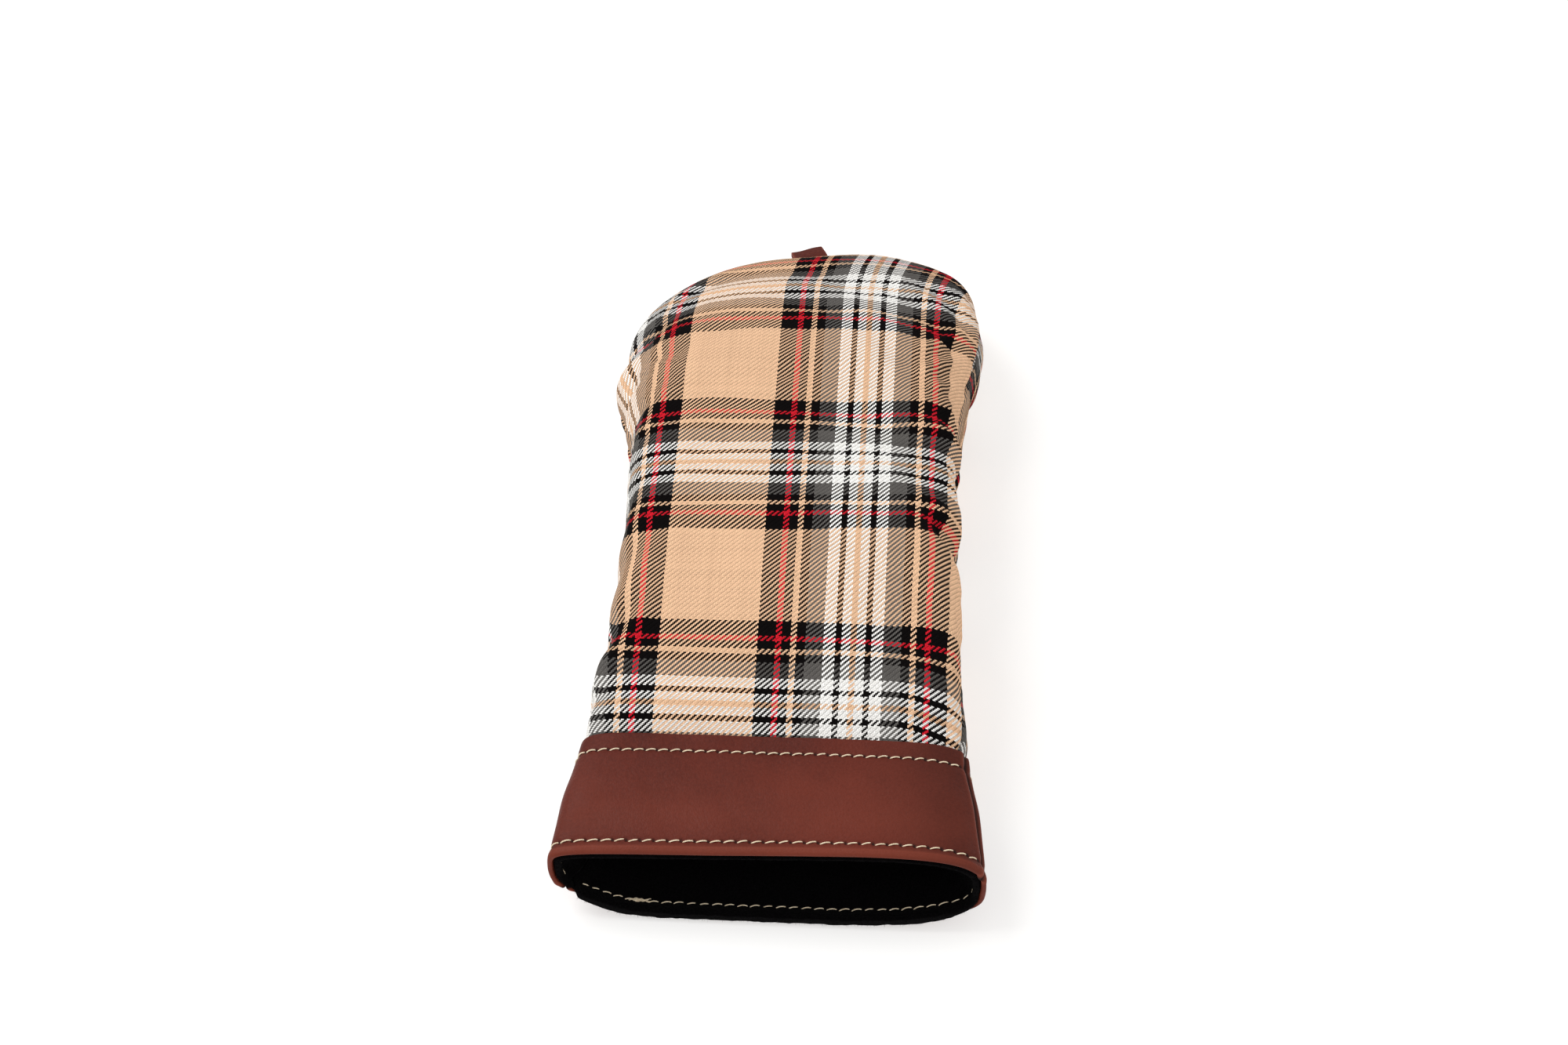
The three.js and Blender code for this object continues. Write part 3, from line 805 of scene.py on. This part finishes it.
def seam_relief(distance, along):
    """A narrow groove at the sewn edge, and the small puckers that run off it."""
    pucker = smooth_noise(along / 5.5, distance / 14, 11) * PUCKER_HEIGHT * np.exp(-distance / 7)
    return pucker * smoothstep(0.3, 2.0, distance) - SEAM_GROOVE * bell(distance, 1.5)


# Folds of the front, each from one (x, station) to another, with its width and height.
FRONT_FOLDS = [
    ((-70, 60), (-42, 112), 4.6, 2.2), ((-70, 84), (-48, 126), 3.8, 1.6),
    ((-66, 120), (-52, 150), 4.0, 1.2), ((74, 268), (44, 236), 3.4, 2.4),
    ((74, 250), (46, 224), 3.2, 2.2), ((72, 234), (50, 214), 3.0, 1.8),
    ((68, 214), (46, 208), 4.0, 1.6), ((68, 196), (44, 197), 4.4, 1.8),
    ((68, 172), (42, 178), 4.6, 1.8), ((68, 150), (46, 158), 3.6, 1.4),
    ((-69, 236), (-46, 226), 3.8, 1.8), ((-67, 214), (-46, 208), 4.0, 1.4),
    ((-66, 192), (-48, 190), 4.0, 1.2), ((-62, 280), (-30, 306), 3.6, 1.4),
]
# How far the neck's and head's sides bulge out or are drawn in, by station.
right_scallops = smooth_profile([
    (95, 0), (112, 0.9), (132, 1.4), (143, -2.8), (150, 0.6), (162, 1.5), (178, -0.6),
    (183, -0.9), (193, 1.0), (204, -0.6), (216, 0.3), (226, 0)])
left_scallops = smooth_profile([
    (60, 0), (74, 1.2), (88, -0.6), (104, 0.5), (120, 0), (196, 0), (208, -0.8),
    (222, 0.8), (232, -0.6), (244, 0.8), (258, -0.7), (270, 0.5), (282, 0)])


def fold(x, station, start, end, width, height):
    """Height of one fold along a line, tapering towards both ends."""
    start, end = np.array(start, float), np.array(end, float)
    line = end - start
    length = np.linalg.norm(line)
    line /= length
    dx, ds = x - start[0], station - start[1]
    along = (dx * line[0] + ds * line[1]) / length
    aside = (ds * line[0] - dx * line[1]) / width
    taper = np.sin(np.pi * np.clip(along, 0, 1)) ** 0.8
    return height * taper * (np.exp(-aside ** 2) - 0.45 * np.exp(-(aside / 2.4) ** 2))


def folds(face, x, station):
    if face < 0:
        return 0.5 * smooth_noise(x / 24, station / 28, 8)
    height = 0.5 * smooth_noise(x / 26 + 5, station / 30 + 3, 3)
    return height + sum(fold(x, station, *one) for one in FRONT_FOLDS)


def soft_shape(face, grid, stations):
    """How far the cloth and the layers under it stand out: simulated wrinkles and the
    folds the cover has taken on."""
    x, station = grid[..., 0], grid[..., 1] + HALF_LENGTH
    scallops = (right_scallops(station) * smoothstep(46, 66, x)
                + left_scallops(station) * smoothstep(44, 64, -x))
    free = smoothstep(CUFF_DEPTH + 2, CUFF_DEPTH + 14, station)
    return drape(face, stations, grid.shape[1] - 1) + (folds(face, x, station) + scallops) * free


def body_panel(face, name):
    """The cloth of one half of the body, with its seams, puckers and folds."""
    stations = even_stations(PANEL_START, CLOTH_SPACING)
    grid, cloth_across = bag_grid(face, stations, clear_of_cuff(stations), PANEL_COLUMNS)
    relief = seam_relief(seam_distance(grid), grid[..., 1] + 1.3 * grid[..., 0])
    relief = relief * smoothstep(CUFF_DEPTH - 2, CUFF_DEPTH + 4, stations)[:, None]
    relief = relief + soft_shape(face, grid, stations)
    shaped = pushed(grid, grid_normals(grid, face), relief, OUTSIDE_LOWEST)
    coordinates = cloth_coordinates(grid, cloth_across, stations)
    if face < 0:
        coordinates = coordinates + np.array(BACK_CLOTH_SHIFT)
    obj = thick_sheet(name + ".cloth", face, shaped, CLOTH, {"cloth": coordinates})
    return dress(obj, "tartan_cloth")


# ---- the leather cuff

CUFF_COLUMNS = 440
CUFF_NORMAL_ROWS = 24
STITCH_PITCH = {TOP_STITCH: 4.5, MOUTH_STITCH: 5.0}
STITCH_MARGIN = 3.0
STITCH_GAP = 0.085  # share of the pitch that each end of a stitch stops short
STITCH_SINK = 0.75  # how deep its ends go into the needle holes
HOLE_RADIUS = 0.55
HOLE_DEPTH = 0.55
EDGE_ROLL = 1.25  # how far the leather's cut ends roll in at the side seams
INSIDE_SHARE = 0.4  # how much of the leather's unevenness shows on its inside
BACK_RIM_INSET = 1.5
RIM_RADIUS = 0.95


def stitch_holes(length, station):
    """Distances of the needle holes along one half of a row at a station."""
    count = int(round((length - 2 * STITCH_MARGIN) / STITCH_PITCH[station]))
    return np.linspace(STITCH_MARGIN, length - STITCH_MARGIN, count + 1)


def cuff_relief(s):
    """Depth of the leather's outer face: pressed in under both stitch rows."""
    pressed_in = 0.32 * bell(s - TOP_STITCH, 1.5) + 0.35 * bell(s - MOUTH_STITCH, 1.2)
    swollen = 0.16 * bell(s - 1.9, 1.0) + 0.25 * bell(s - 24, 9)
    return pressed_in - swollen + 0.12 * bell(s - CUFF_DEPTH, 0.6)


def cuff_profile(inset):
    """(station, depth) round the leather, from its cut top edge down the outside, round
    the rim (moved in from the mouth by an inset) and back up the inside."""
    down = np.concatenate([
        np.linspace(CUFF_DEPTH, 43, 7)[1:], np.linspace(42.6, 36.4, 20),
        np.linspace(35.5, 8.5, 22), np.linspace(8, 1.5 + inset, 30)])
    outside = [(s, cuff_relief(s)) for s in down]
    angles = np.linspace(0.06 * np.pi, 0.94 * np.pi, 11)
    roll = [(RIM_RADIUS * (1 - math.sin(angle)) + 0.15 + inset,
             RIM_RADIUS * (1 - math.cos(angle)) - 0.05) for angle in angles]
    inside = [(1.5 + inset, 1.85)] + [
        (station, LEATHER) for station in (4, 6, 9, 14, 20, 28, 36, 42, 45.4)]
    edge = [(45.9, 1.5), (46.05, 1.0), (46.0, 0.5), (45.85, 0.15)]
    return np.array(outside + roll + inside + edge).T


def rim_covered(face, columns):
    """How far the lining covers the leather's rim, by column: wholly along most of the
    back half, and not at all near its right end."""
    fraction = np.linspace(0, 1, columns + 1)
    covered = smoothstep(0.0, 0.05, fraction) * smoothstep(0.03, 0.2, 1 - fraction)
    return (covered if face < 0 else 0 * covered)[:, None]


def tucked(points, face):
    """Rounds off the mouth's two lower corners. At the left the back half is also tucked
    inside the front's curled end."""
    x, y, z = points[..., 0], points[..., 1], points[..., 2]
    near_mouth = bell(y + HALF_LENGTH, 20)
    low = near_mouth * (1 - smoothstep(5, 25, z))
    left = low * smoothstep(38, 76, -x)
    right = low * smoothstep(24, 74, x)
    inside = near_mouth * bell(x + 78, 8) * bell(z - 10, 8)
    moved = points.copy()
    moved[..., 0] += 2.4 * left - 1.2 * right + (2.6 if face < 0 else 0.6) * inside
    moved[..., 2] += 3.4 * left + 2.8 * right
    return moved


def cuff_half(face, name):
    plain, tight = (bag_grid(face, *cuff_profile(inset), CUFF_COLUMNS)[0]
                    for inset in (0, BACK_RIM_INSET))
    covered = rim_covered(face, CUFF_COLUMNS)
    grid = plain * (1 - covered) + tight * covered
    stations, depths = cuff_profile(0)
    outer = (depths < LEATHER / 2)[:, None]
    around = lengths_along(grid)
    length = around[:, -1:]
    s = stations[:, None]
    pit = np.zeros(grid.shape[:2])
    for row in (MOUTH_STITCH, TOP_STITCH):
        nearest = np.argmin(np.abs(stations - row))
        holes = stitch_holes(around[nearest, -1], row)
        gap = np.abs(around[nearest][:, None] - holes).min(axis=1)[None, :]
        pit = pit + bell(np.hypot(gap, s - row), HOLE_RADIUS) * outer
    edge = np.minimum(around, length - around)
    rolled = bell(edge, 1.0) - 0.30 * bell(edge - 2.4, 1.5)
    wobble = 0.22 * smooth_noise(around / 13, s / 11 + 0 * around, 21 + face)
    push = wobble - EDGE_ROLL * rolled - HOLE_DEPTH * pit
    push = push * np.where(outer, 1.0, INSIDE_SHARE)
    out = normals_out(face, CUFF_COLUMNS, stations, CUFF_DEPTH, CUFF_NORMAL_ROWS)
    grid = pushed(grid, out, push, OUTSIDE_LOWEST)
    # Partly wear and partly painted highlight: paler round the mouth's rim, just inside the rolled
    # cut ends and across the middle of the band.
    wear_and_painted_highlight = 0.45 * bell(s - 0.8, 1.6) + 0.25 * bell(s - 2.0, 0.5) * outer
    wear_and_painted_highlight = np.clip(wear_and_painted_highlight + 0.12 * bell(s - 24, 14) + 0.4 * bell(edge - 2.2, 0.9), 0, 1)
    wear_and_painted_highlight = wear_and_painted_highlight + 0.14 * bell(s - 12, 7)
    # Painted shade: the leather is darkened in its needle holes, at its cut ends by the side seams
    # and towards its right end, away from the key light.
    shaded_right_end = 0.36 * smoothstep(0.72, 0.97, around / length) * (1 - wear_and_painted_highlight)
    painted_leather_shade = np.clip(pit * 1.3 + bell(edge, 0.9) + shaded_right_end, 0, 1)
    obj = lofted_shell(name + ".leather", face, tucked(grid, face),
                       {"wear_and_painted_highlight": wear_and_painted_highlight, "painted_leather_shade": painted_leather_shade})
    return dress(obj, "brown_leather")


# ---- the lining

LINING_ROWS = 400
LINING_COLUMNS = 220
LINING_NORMAL_ROWS = 120
LINING_LOWEST = 0.3
OUTER_DEPTH = 5.2  # depth of the lining's outside over the whole body
INNER_DEPTH = 8.2  # and of its inside
FIBRE_COUNT = 5200
FIBRE_RADIUS = 0.045
# The lining's profile, as (station, depth): down its outside from the crown, round a roll
# at the mouth, and back up its inside.
BODY_STATIONS = [85, 110, 140, 170, 200, 230, 260, SHOULDER - 2]
LINING_UNDER = [(s, OUTER_DEPTH) for s in BODY_STATIONS[::-1] + [66]] + [
    (56, 5.4), (50, 6.2), (46, 6.8), (40, 6.8), (34, 6.6)]
LINING_DEEP = [(50, 9.4), (58, 8.6), (70, 8.3)] + [(s, INNER_DEPTH) for s in BODY_STATIONS]
# Where the leather's rim shows, the lining rolls over just inside it; along the back it
# wraps over the rim. Either way it is sewn down flat on the back.
FRONT_LINING_ROLL = [
    (28, 5.4), (22, 3.8), (16, 3.0), (11, 2.6), (8, 2.3), (5.5, 2.2), (3.6, 2.2), (2.2, 2.2),
    (1.3, 2.4), (0.8, 2.9), (0.7, 3.6), (1.1, 4.3), (2.0, 4.6), (3.2, 4.3), (4.2, 3.7),
    (5.0, 3.6), (6.2, 4.0), (8.5, 5.2), (12, 6.4), (18, 7.6), (24, 8.6), (30, 9.5),
    (36, 9.9), (42, 9.9)]
BACK_LINING_ROLL = [
    (28, 5.2), (22, 3.4), (16, 2.5), (11, 2.1), (8, 2.1), (5.5, 2.1), (3.4, 1.9), (1.8, 1.3),
    (1.1, 0.6), (0.4, 0.2), (-0.2, 0.4), (-0.6, 1.3), (-0.6, 2.4), (-0.2, 3.4), (0.8, 4.0),
    (2.2, 4.0), (3.6, 3.5), (4.5, 3.3), (5.4, 3.5), (8.0, 4.6), (12, 6.0), (18, 7.2),
    (24, 8.4), (30, 9.4), (36, 9.9), (42, 9.9)]


def lining_profile(roll):
    """Stations and depths of a smooth path round the lining, in steps that are finer near
    the mouth, where the roll needs them."""
    profile = np.array(LINING_UNDER + roll + LINING_DEEP)
    steps = np.linalg.norm(np.diff(profile, axis=0), axis=1)
    running = np.concatenate([[0], np.cumsum(steps)])
    density = 1 / (1.5 + 0.08 * np.maximum(profile[:, 0], 0))
    weighted = np.concatenate([[0], np.cumsum(steps * (density[1:] + density[:-1]) / 2)])
    wanted = np.interp(np.linspace(0, weighted[-1], LINING_ROWS), weighted, running)
    return [smooth_profile(list(zip(running, values)))(wanted) for values in profile.T]


def fibres(face, grid, first_row, last_row, seed):
    """Short fibres that stand off the fleece at the mouth, as slim three-sided cones."""
    random = np.random.default_rng(seed)
    r = random.integers(first_row, last_row, FIBRE_COUNT)
    c = random.integers(1, grid.shape[1] - 1, FIBRE_COUNT)
    across = np.gradient(grid, axis=1)[r, c]
    along = np.gradient(grid, axis=0)[r, c]
    outward = unit(-face * np.cross(across, along))
    share = random.uniform(0, 1, (FIBRE_COUNT, 1))
    base = grid[r, c] * share + grid[r, c + 1] * (1 - share) - 0.1 * outward
    lean = outward + random.normal(0, 0.45, (FIBRE_COUNT, 3))
    tip = base + lean * random.uniform(0.35, 1.1, (FIBRE_COUNT, 1))
    side = unit(np.cross(lean, [0.3, 0.5, 0.8]))
    other = unit(np.cross(side, lean))
    corners = [base + FIBRE_RADIUS * (math.cos(turn) * side + math.sin(turn) * other)
               for turn in (0, 2 * math.pi / 3, 4 * math.pi / 3)]
    points = np.stack(corners + [tip], 1).reshape(-1, 3)
    points[:, 2] = np.maximum(points[:, 2], 0.02)
    cone = np.array([[0, 1, 2], [1, 0, 3], [2, 1, 3], [0, 2, 3]])
    firsts = np.arange(0, len(points), 4)[:, None, None]
    return points, (firsts + cone).reshape(-1, 3).tolist()


def lining_half(face, name):
    stations, depths = lining_profile(FRONT_LINING_ROLL)
    grid, _ = bag_grid(face, stations, depths, LINING_COLUMNS)
    if face < 0:
        stations, depths = lining_profile(BACK_LINING_ROLL)
        wrapped, _ = bag_grid(face, stations, depths, LINING_COLUMNS)
        covered = rim_covered(face, LINING_COLUMNS)
        grid = grid * (1 - covered) + wrapped * covered
    around = lengths_along(grid)
    s = stations[:, None] + 0 * around
    inner = smoothstep(0.40, 0.46, np.arange(LINING_ROWS) / LINING_ROWS)[:, None]
    tufts = 0.4 * smooth_noise(around / 4.0, s / 4.0, 31) + 0.3 * smooth_noise(
        around / 1.6, s / 1.6, 32)
    push = -0.6 * tufts * inner + soft_shape(face, grid, stations)
    out = normals_out(face, LINING_COLUMNS, stations, SHOULDER - 1, LINING_NORMAL_ROWS)
    grid = tucked(pushed(grid, out, push, LINING_LOWEST), face)
    near_mouth = np.flatnonzero(stations < 9)
    pile = fibres(face, grid, near_mouth[0], near_mouth[-1], 40 + face)
    return dress(lofted_shell(name + ".fleece", face, grid, extra=pile), "black_fleece")


# ---- threads

PLIES = 3
PLY_SIDES = 6
PLY_SHARE = 0.55  # a ply's radius as a share of the thread's
STITCH_TURNS = 2.2
STITCH_POINTS = 15
SEAM_START = 56  # station where the body's seams come out of the cuff
BACK_TACK = (-48.5, -165.6, 5.0)
BACK_TACK_STITCHES = 11
BACK_TACK_RADIUS = 0.19


def twisted_thread(path, radius, turns):
    """Points and faces of plies twisted round a path of points, in millimetres."""
    path = np.asarray(path, float)
    count = len(path)
    tangent = np.gradient(path, axis=0)
    tangent /= np.linalg.norm(tangent, axis=1, keepdims=True)
    side = np.cross(tangent, [0.0, 0.0, 1.0])
    lengths = np.linalg.norm(side, axis=1, keepdims=True)
    side = np.where(lengths > 1e-3, side / np.maximum(lengths, 1e-3), [1.0, 0.0, 0.0])
    up = np.cross(side, tangent)
    ply_radius = radius * PLY_SHARE
    index = numbered(count, PLY_SIDES)
    faces = grid_faces(np.concatenate([index, index[:, :1]], axis=1), 1).tolist()
    faces += [index[0, ::-1].tolist(), index[-1].tolist()]
    plies = []
    for ply in range(PLIES):
        turn = 2 * np.pi * (ply / PLIES + turns * np.linspace(0, 1, count))[:, None]
        centre = path + (radius - ply_radius) * (np.cos(turn) * side + np.sin(turn) * up)
        angles = 2 * np.pi * np.arange(PLY_SIDES) / PLY_SIDES
        ring = [centre + ply_radius * (math.cos(angle) * side + math.sin(angle) * up)
                for angle in angles]
        plies.append((np.stack(ring, 1).reshape(-1, 3), faces))
    return joined(plies)


def stitch_row(name, station, depth, lift, radius, slant, extra=()):
    """A row of slanted, arched stitches right round the bag, seen from outside (lift
    above 0) or from inside the mouth (lift below 0)."""
    random = np.random.default_rng(int(station * 10 + abs(lift) * 100))
    parts = list(extra)
    spread = np.arange(CUFF_COLUMNS + 1)
    t = np.linspace(0, 1, STITCH_POINTS)
    arch = np.sin(np.pi * t) ** 0.55
    for face in (1, -1):
        grid, _ = bag_grid(face, station + np.arange(-2, 3), depth, CUFF_COLUMNS)
        normals = grid_normals(grid, face)[2]
        upward = (grid[4] - grid[0]) / 4
        surface, _ = bag_grid(face, [station, station + 1], 0, CUFF_COLUMNS)
        outer_length = lengths_along(surface)[0, -1]
        holes = stitch_holes(outer_length, station) / outer_length
        for start, end in zip(holes[:-1], holes[1:]):
            share = start + (end - start) * (STITCH_GAP + (1 - 2 * STITCH_GAP) * t)

            def along_row(values):
                return np.stack([np.interp(share * CUFF_COLUMNS, spread, values[:, axis])
                                 for axis in range(3)], -1)

            tilt = slant * (1 + 0.25 * random.uniform(-1, 1))
            shift = 0.12 * random.uniform(-1, 1)
            rise = abs(lift) * (1 + 0.12 * random.uniform(-1, 1))
            height = np.sign(lift) * (-STITCH_SINK + (STITCH_SINK + rise) * arch)
            path = (along_row(grid[2]) + along_row(upward) * (tilt * (2 * t - 1) + shift)[:, None]
                    + along_row(normals) * height[:, None])
            parts.append(twisted_thread(tucked(path, face), radius, STITCH_TURNS))
    return dress(mesh_object(name + ".stitches", *joined(parts)), "cream_thread")


def back_tack():
    """Where the mouth seam starts and ends: a few stitches over each other inside the
    mouth, and their frayed ends."""
    random = np.random.default_rng(5)
    t = np.linspace(-1, 1, 26)

    def sway():
        return t * random.uniform(3, 7) + random.uniform(0, 6)

    parts = []
    for _ in range(BACK_TACK_STITCHES):
        half = random.uniform(2.2, 5.5)
        x = BACK_TACK[0] + random.uniform(-3.0, 3.0) + half * t
        y = BACK_TACK[1] + random.uniform(-0.5, 0.5) + 0.45 * np.sin(sway())
        z = BACK_TACK[2] + random.uniform(0.0, 0.5) + 0.30 * np.cos(sway())
        parts.append(twisted_thread(np.stack([x, y, z], -1), BACK_TACK_RADIUS, 4))
    return parts


def seam_tube(name, path, radius):
    """A thread that runs through a list of points, in millimetres."""
    points, faces = twisted_thread(path, radius, len(path) / 4)
    return dress(mesh_object(name + ".thread", points, faces), "cream_thread")


def side_line(stations, depth, column):
    """Points down one side seam, at a depth: column 0 is the left one and -1 the right."""
    return bag_grid(1, stations, depth, 12)[0][:, column]


def body_seam_line(depth):
    """Points up the left seam, over the crown and down the right seam."""
    stations = even_stations(SEAM_START, 2.0)[:-1]
    crown, _ = bag_grid(1, [SHOULDER - 0.4], depth, 90)
    return np.concatenate([side_line(stations, depth, 0), crown[0, 1:-1],
                           side_line(stations, depth, -1)[::-1]])


# ---- the hidden layers

PADDING_SPACING = 4.0
PADDING_COLUMNS = 42
PADDING_THICKNESS = 2.6
PADDING_LOWEST = 1.8
ELASTIC_STATIONS = (172, 188)
ELASTIC_DEPTH = 5.5
ELASTIC_THICKNESS = 1.0
ELASTIC_COLUMNS = 120
ELASTIC_MARGIN = 14  # columns between the elastic's ends and the side seams

padding_depth = smooth_profile([
    (0, 4.0), (CUFF_DEPTH, 4.0), (52, 3.0), (60, 1.9), (SHOULDER, 1.9)])


def padding(face, name):
    """Wadding that follows the inside of the body cloth."""
    stations = even_stations(PANEL_START, PADDING_SPACING)
    grid, _ = bag_grid(face, stations, padding_depth(stations), PADDING_COLUMNS)
    follow = soft_shape(face, grid, stations) - 0.6 * bell(seam_distance(grid), 4)
    grid = pushed(grid, grid_normals(grid, face), follow, PADDING_LOWEST)
    obj = thick_sheet(name + ".wadding", face, grid[:-1, 1:-1], PADDING_THICKNESS)
    return dress(obj, "wadding")


def neck_elastic():
    """A strip across the back of the neck, gathered a little along its length."""
    grid, _ = bag_grid(-1, np.linspace(*ELASTIC_STATIONS, 9), ELASTIC_DEPTH, ELASTIC_COLUMNS)
    grid = grid[:, ELASTIC_MARGIN:-ELASTIC_MARGIN]
    along = lengths_along(grid)
    gather = 0.25 * np.sin(along * 1.5) + 0.12 * smooth_noise(along / 3, grid[..., 1] / 6, 5)
    grid = pushed(grid, grid_normals(grid, -1), gather, OUTSIDE_LOWEST)
    obj = thick_sheet("neck_elastic.woven", -1, grid, ELASTIC_THICKNESS)
    return dress(obj, "white_elastic")


# ---- the crown tab

TAB_WIDTH = 14.0
TAB_LENGTH = 7.5
TAB_HALF_THICKNESS = 1.7
TAB_HALF_SLIT = 0.2
TAB_ROOT = 3.0
TAB_PUFF = 0.22  # how much thicker each layer gets towards the fold
TAB_EDGE = 0.55  # how far in from its cut edges the strip is pinched


def tab_profile():
    """(outwards, up) round the folded strip, from its root over the fold and back."""
    fold_centre = TAB_LENGTH - TAB_HALF_THICKNESS
    straight = np.linspace(-TAB_ROOT, fold_centre, 20)
    puff = TAB_PUFF * smoothstep(0, 5, straight)
    angles = np.linspace(np.pi / 2, -np.pi / 2, 15)[1:-1]

    def turned(radius, angles):
        return np.stack([fold_centre + radius * np.cos(angles), radius * np.sin(angles)], -1)

    top = np.stack([straight, TAB_HALF_THICKNESS - TAB_PUFF + puff], -1)
    slit = np.stack([straight, np.full(20, TAB_HALF_SLIT)], -1)
    mirrored = [1, -1]
    return np.concatenate([
        top, turned(TAB_HALF_THICKNESS, angles), top[::-1] * mirrored,
        slit * mirrored, turned(TAB_HALF_SLIT, angles[::3])[::-1], slit[::-1]])


def crown_tab():
    joint = frame["joints"][0]
    hinge = np.array(joint["pos_m"]) / MM
    across = np.array(joint["axis"], float)
    up = np.array([0.0, 0.0, 1.0])
    outwards = np.cross(up, across)
    out, height = tab_profile().T
    middle = np.where(np.abs(height) > 0, np.sign(height), 1) * 0.95
    half = TAB_WIDTH / 2
    cut_edge = [half, half - 0.08, half - 0.25, half - TAB_EDGE]
    widths = np.concatenate([np.negative(cut_edge), np.linspace(1 - half, half - 1, 19),
                             cut_edge[::-1]])
    columns = []
    for w in widths:
        from_edge = half - abs(w)
        pinch = 1 - 0.30 * (1 - np.clip(from_edge / TAB_EDGE, 0, 1)) ** 2
        end = TAB_LENGTH - 0.3 * (1 - np.clip(from_edge, 0, 1)) ** 2
        o = np.minimum(out, end)
        droop = -0.9 * smoothstep(0, TAB_LENGTH, o) + 0.25 * math.sin(w * 0.45)
        u = middle + (height - middle) * pinch + droop
        waist = 1 + 0.02 * np.cos(o * 0.5)
        columns.append(hinge + np.outer(o, outwards) + np.outer(u, up)
                       + across * (w * waist)[:, None])
    grid = np.stack(columns, axis=1)
    # Paler along the tab's cut edges; the tab has no painted shade.
    paler_cut_edges = 0.6 * bell(half - np.abs(widths), 0.5) + 0 * grid[..., 0]
    obj = lofted_shell("crown_tab.leather", -1, grid, {"wear_and_painted_highlight": paler_cut_edges, "painted_leather_shade": 0 * paler_cut_edges},
                       body=None)
    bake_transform(obj)
    return dress(obj, "brown_leather")


# ---- the pieces

body_panel(1, "front_panel")
body_panel(-1, "back_panel")
cuff_half(1, "cuff_front")
cuff_half(-1, "cuff_back")
lining_half(1, "front_lining")
lining_half(-1, "back_lining")
stitch_row("cuff_top_thread", TOP_STITCH, depth=0.30, lift=0.40, radius=0.28, slant=0.42)
stitch_row("mouth_thread", MOUTH_STITCH, depth=0.35, lift=0.40, radius=0.28, slant=0.42)
stitch_row("mouth_thread_inside", MOUTH_STITCH, depth=3.5, lift=-0.35, radius=0.24, slant=0.35,
           extra=back_tack())
stitch_row("cuff_top_thread_inside", TOP_STITCH, depth=6.1, lift=-0.2, radius=0.26, slant=0.3)
padding(1, "front_padding")
padding(-1, "back_padding")
for side, column in (("left", 0), ("right", -1)):
    seam = side_line(np.linspace(2, CUFF_DEPTH - 1, 30), 1.9, column)
    seam_tube("cuff_seam_thread_" + side, tucked(seam, 1), radius=0.3)
seam_tube("body_seam_thread", body_seam_line(depth=2.6), radius=0.35)
seam_tube("lining_seam_thread", body_seam_line(depth=4.9), radius=0.35)
neck_elastic()
crown_tab()


# ---- floor, light and camera

FLOOR_REACH = 6.0
WORLD_LIGHT = 0.76
CAMERA_PLACE = (45.96, -909.02, 948.64)
CAMERA_LENS = 74.7
CAMERA_TURN = 3  # degrees to the left
CAMERA_TILT = 45  # degrees down


def paper_floor():
    corners = [(x * FLOOR_REACH, y * FLOOR_REACH, 0)
               for x, y in ((-1, -1), (1, -1), (1, 1), (-1, 1))]
    mesh = bpy.data.meshes.new("floor")
    mesh.from_pydata(corners, [], [(0, 1, 2, 3)])
    linked("floor", mesh)
    mesh.materials.append(Nodes("floor_paper").finish(
        Base_Color=(0.50, 0.50, 0.495), Roughness=0.9, Specular_IOR_Level=0.1,
        Emission_Color=(1.0, 0.99, 0.98), Emission_Strength=0.56))


def backdrop():
    """Lights the cover softly from all round, and looks white to the camera."""
    world = bpy.data.worlds.new("studio")
    bpy.context.scene.world = world
    world.use_nodes = True
    nodes, links = world.node_tree.nodes, world.node_tree.links
    background = nodes["Background"]
    background.inputs["Color"].default_value = (1, 1, 1, 1)
    light_path = nodes.new("ShaderNodeLightPath")
    strength = nodes.new("ShaderNodeMapRange")
    strength.inputs["To Min"].default_value = WORLD_LIGHT
    strength.inputs["To Max"].default_value = 1.0
    links.new(light_path.outputs["Is Camera Ray"], strength.inputs["Value"])
    links.new(strength.outputs[0], background.inputs["Strength"])


def area_light(name, place, size, power):
    """A round lamp that points at the middle of the cover."""
    light = bpy.data.lights.new(name, "AREA")
    light.shape = "DISK"
    light.size = size
    light.energy = power
    lamp = linked(name, light)
    lamp.location = place
    lamp.rotation_euler = (-Vector(place)).to_track_quat("-Z", "Y").to_euler()


def photo_camera():
    camera = bpy.data.cameras.new("photo_camera")
    camera.lens = CAMERA_LENS
    camera.sensor_width = 36
    camera.clip_end = 50
    obj = linked("photo_camera", camera)
    obj.location = Vector(CAMERA_PLACE) * MM
    turn, tilt = math.radians(CAMERA_TURN), math.radians(CAMERA_TILT)
    forward = Vector((-math.sin(turn) * math.cos(tilt), math.cos(turn) * math.cos(tilt),
                      -math.sin(tilt)))
    right = Vector((math.cos(turn), math.sin(turn), 0))
    up = right.cross(forward)
    rotation = [[right[k], up[k], -forward[k]] for k in range(3)]
    obj.rotation_euler = Matrix(rotation).to_euler()
    bpy.context.scene.camera = obj


paper_floor()
backdrop()
area_light("key_light", (-0.9, 0.1, 1.5), size=1.0, power=16)
area_light("fill_light", (1.0, -0.9, 1.3), size=1.6, power=3)
photo_camera()
bpy.context.scene.view_settings.view_transform = "Standard"


def plain(bounds):
    return [[float(v) for v in corner] for corner in bounds]
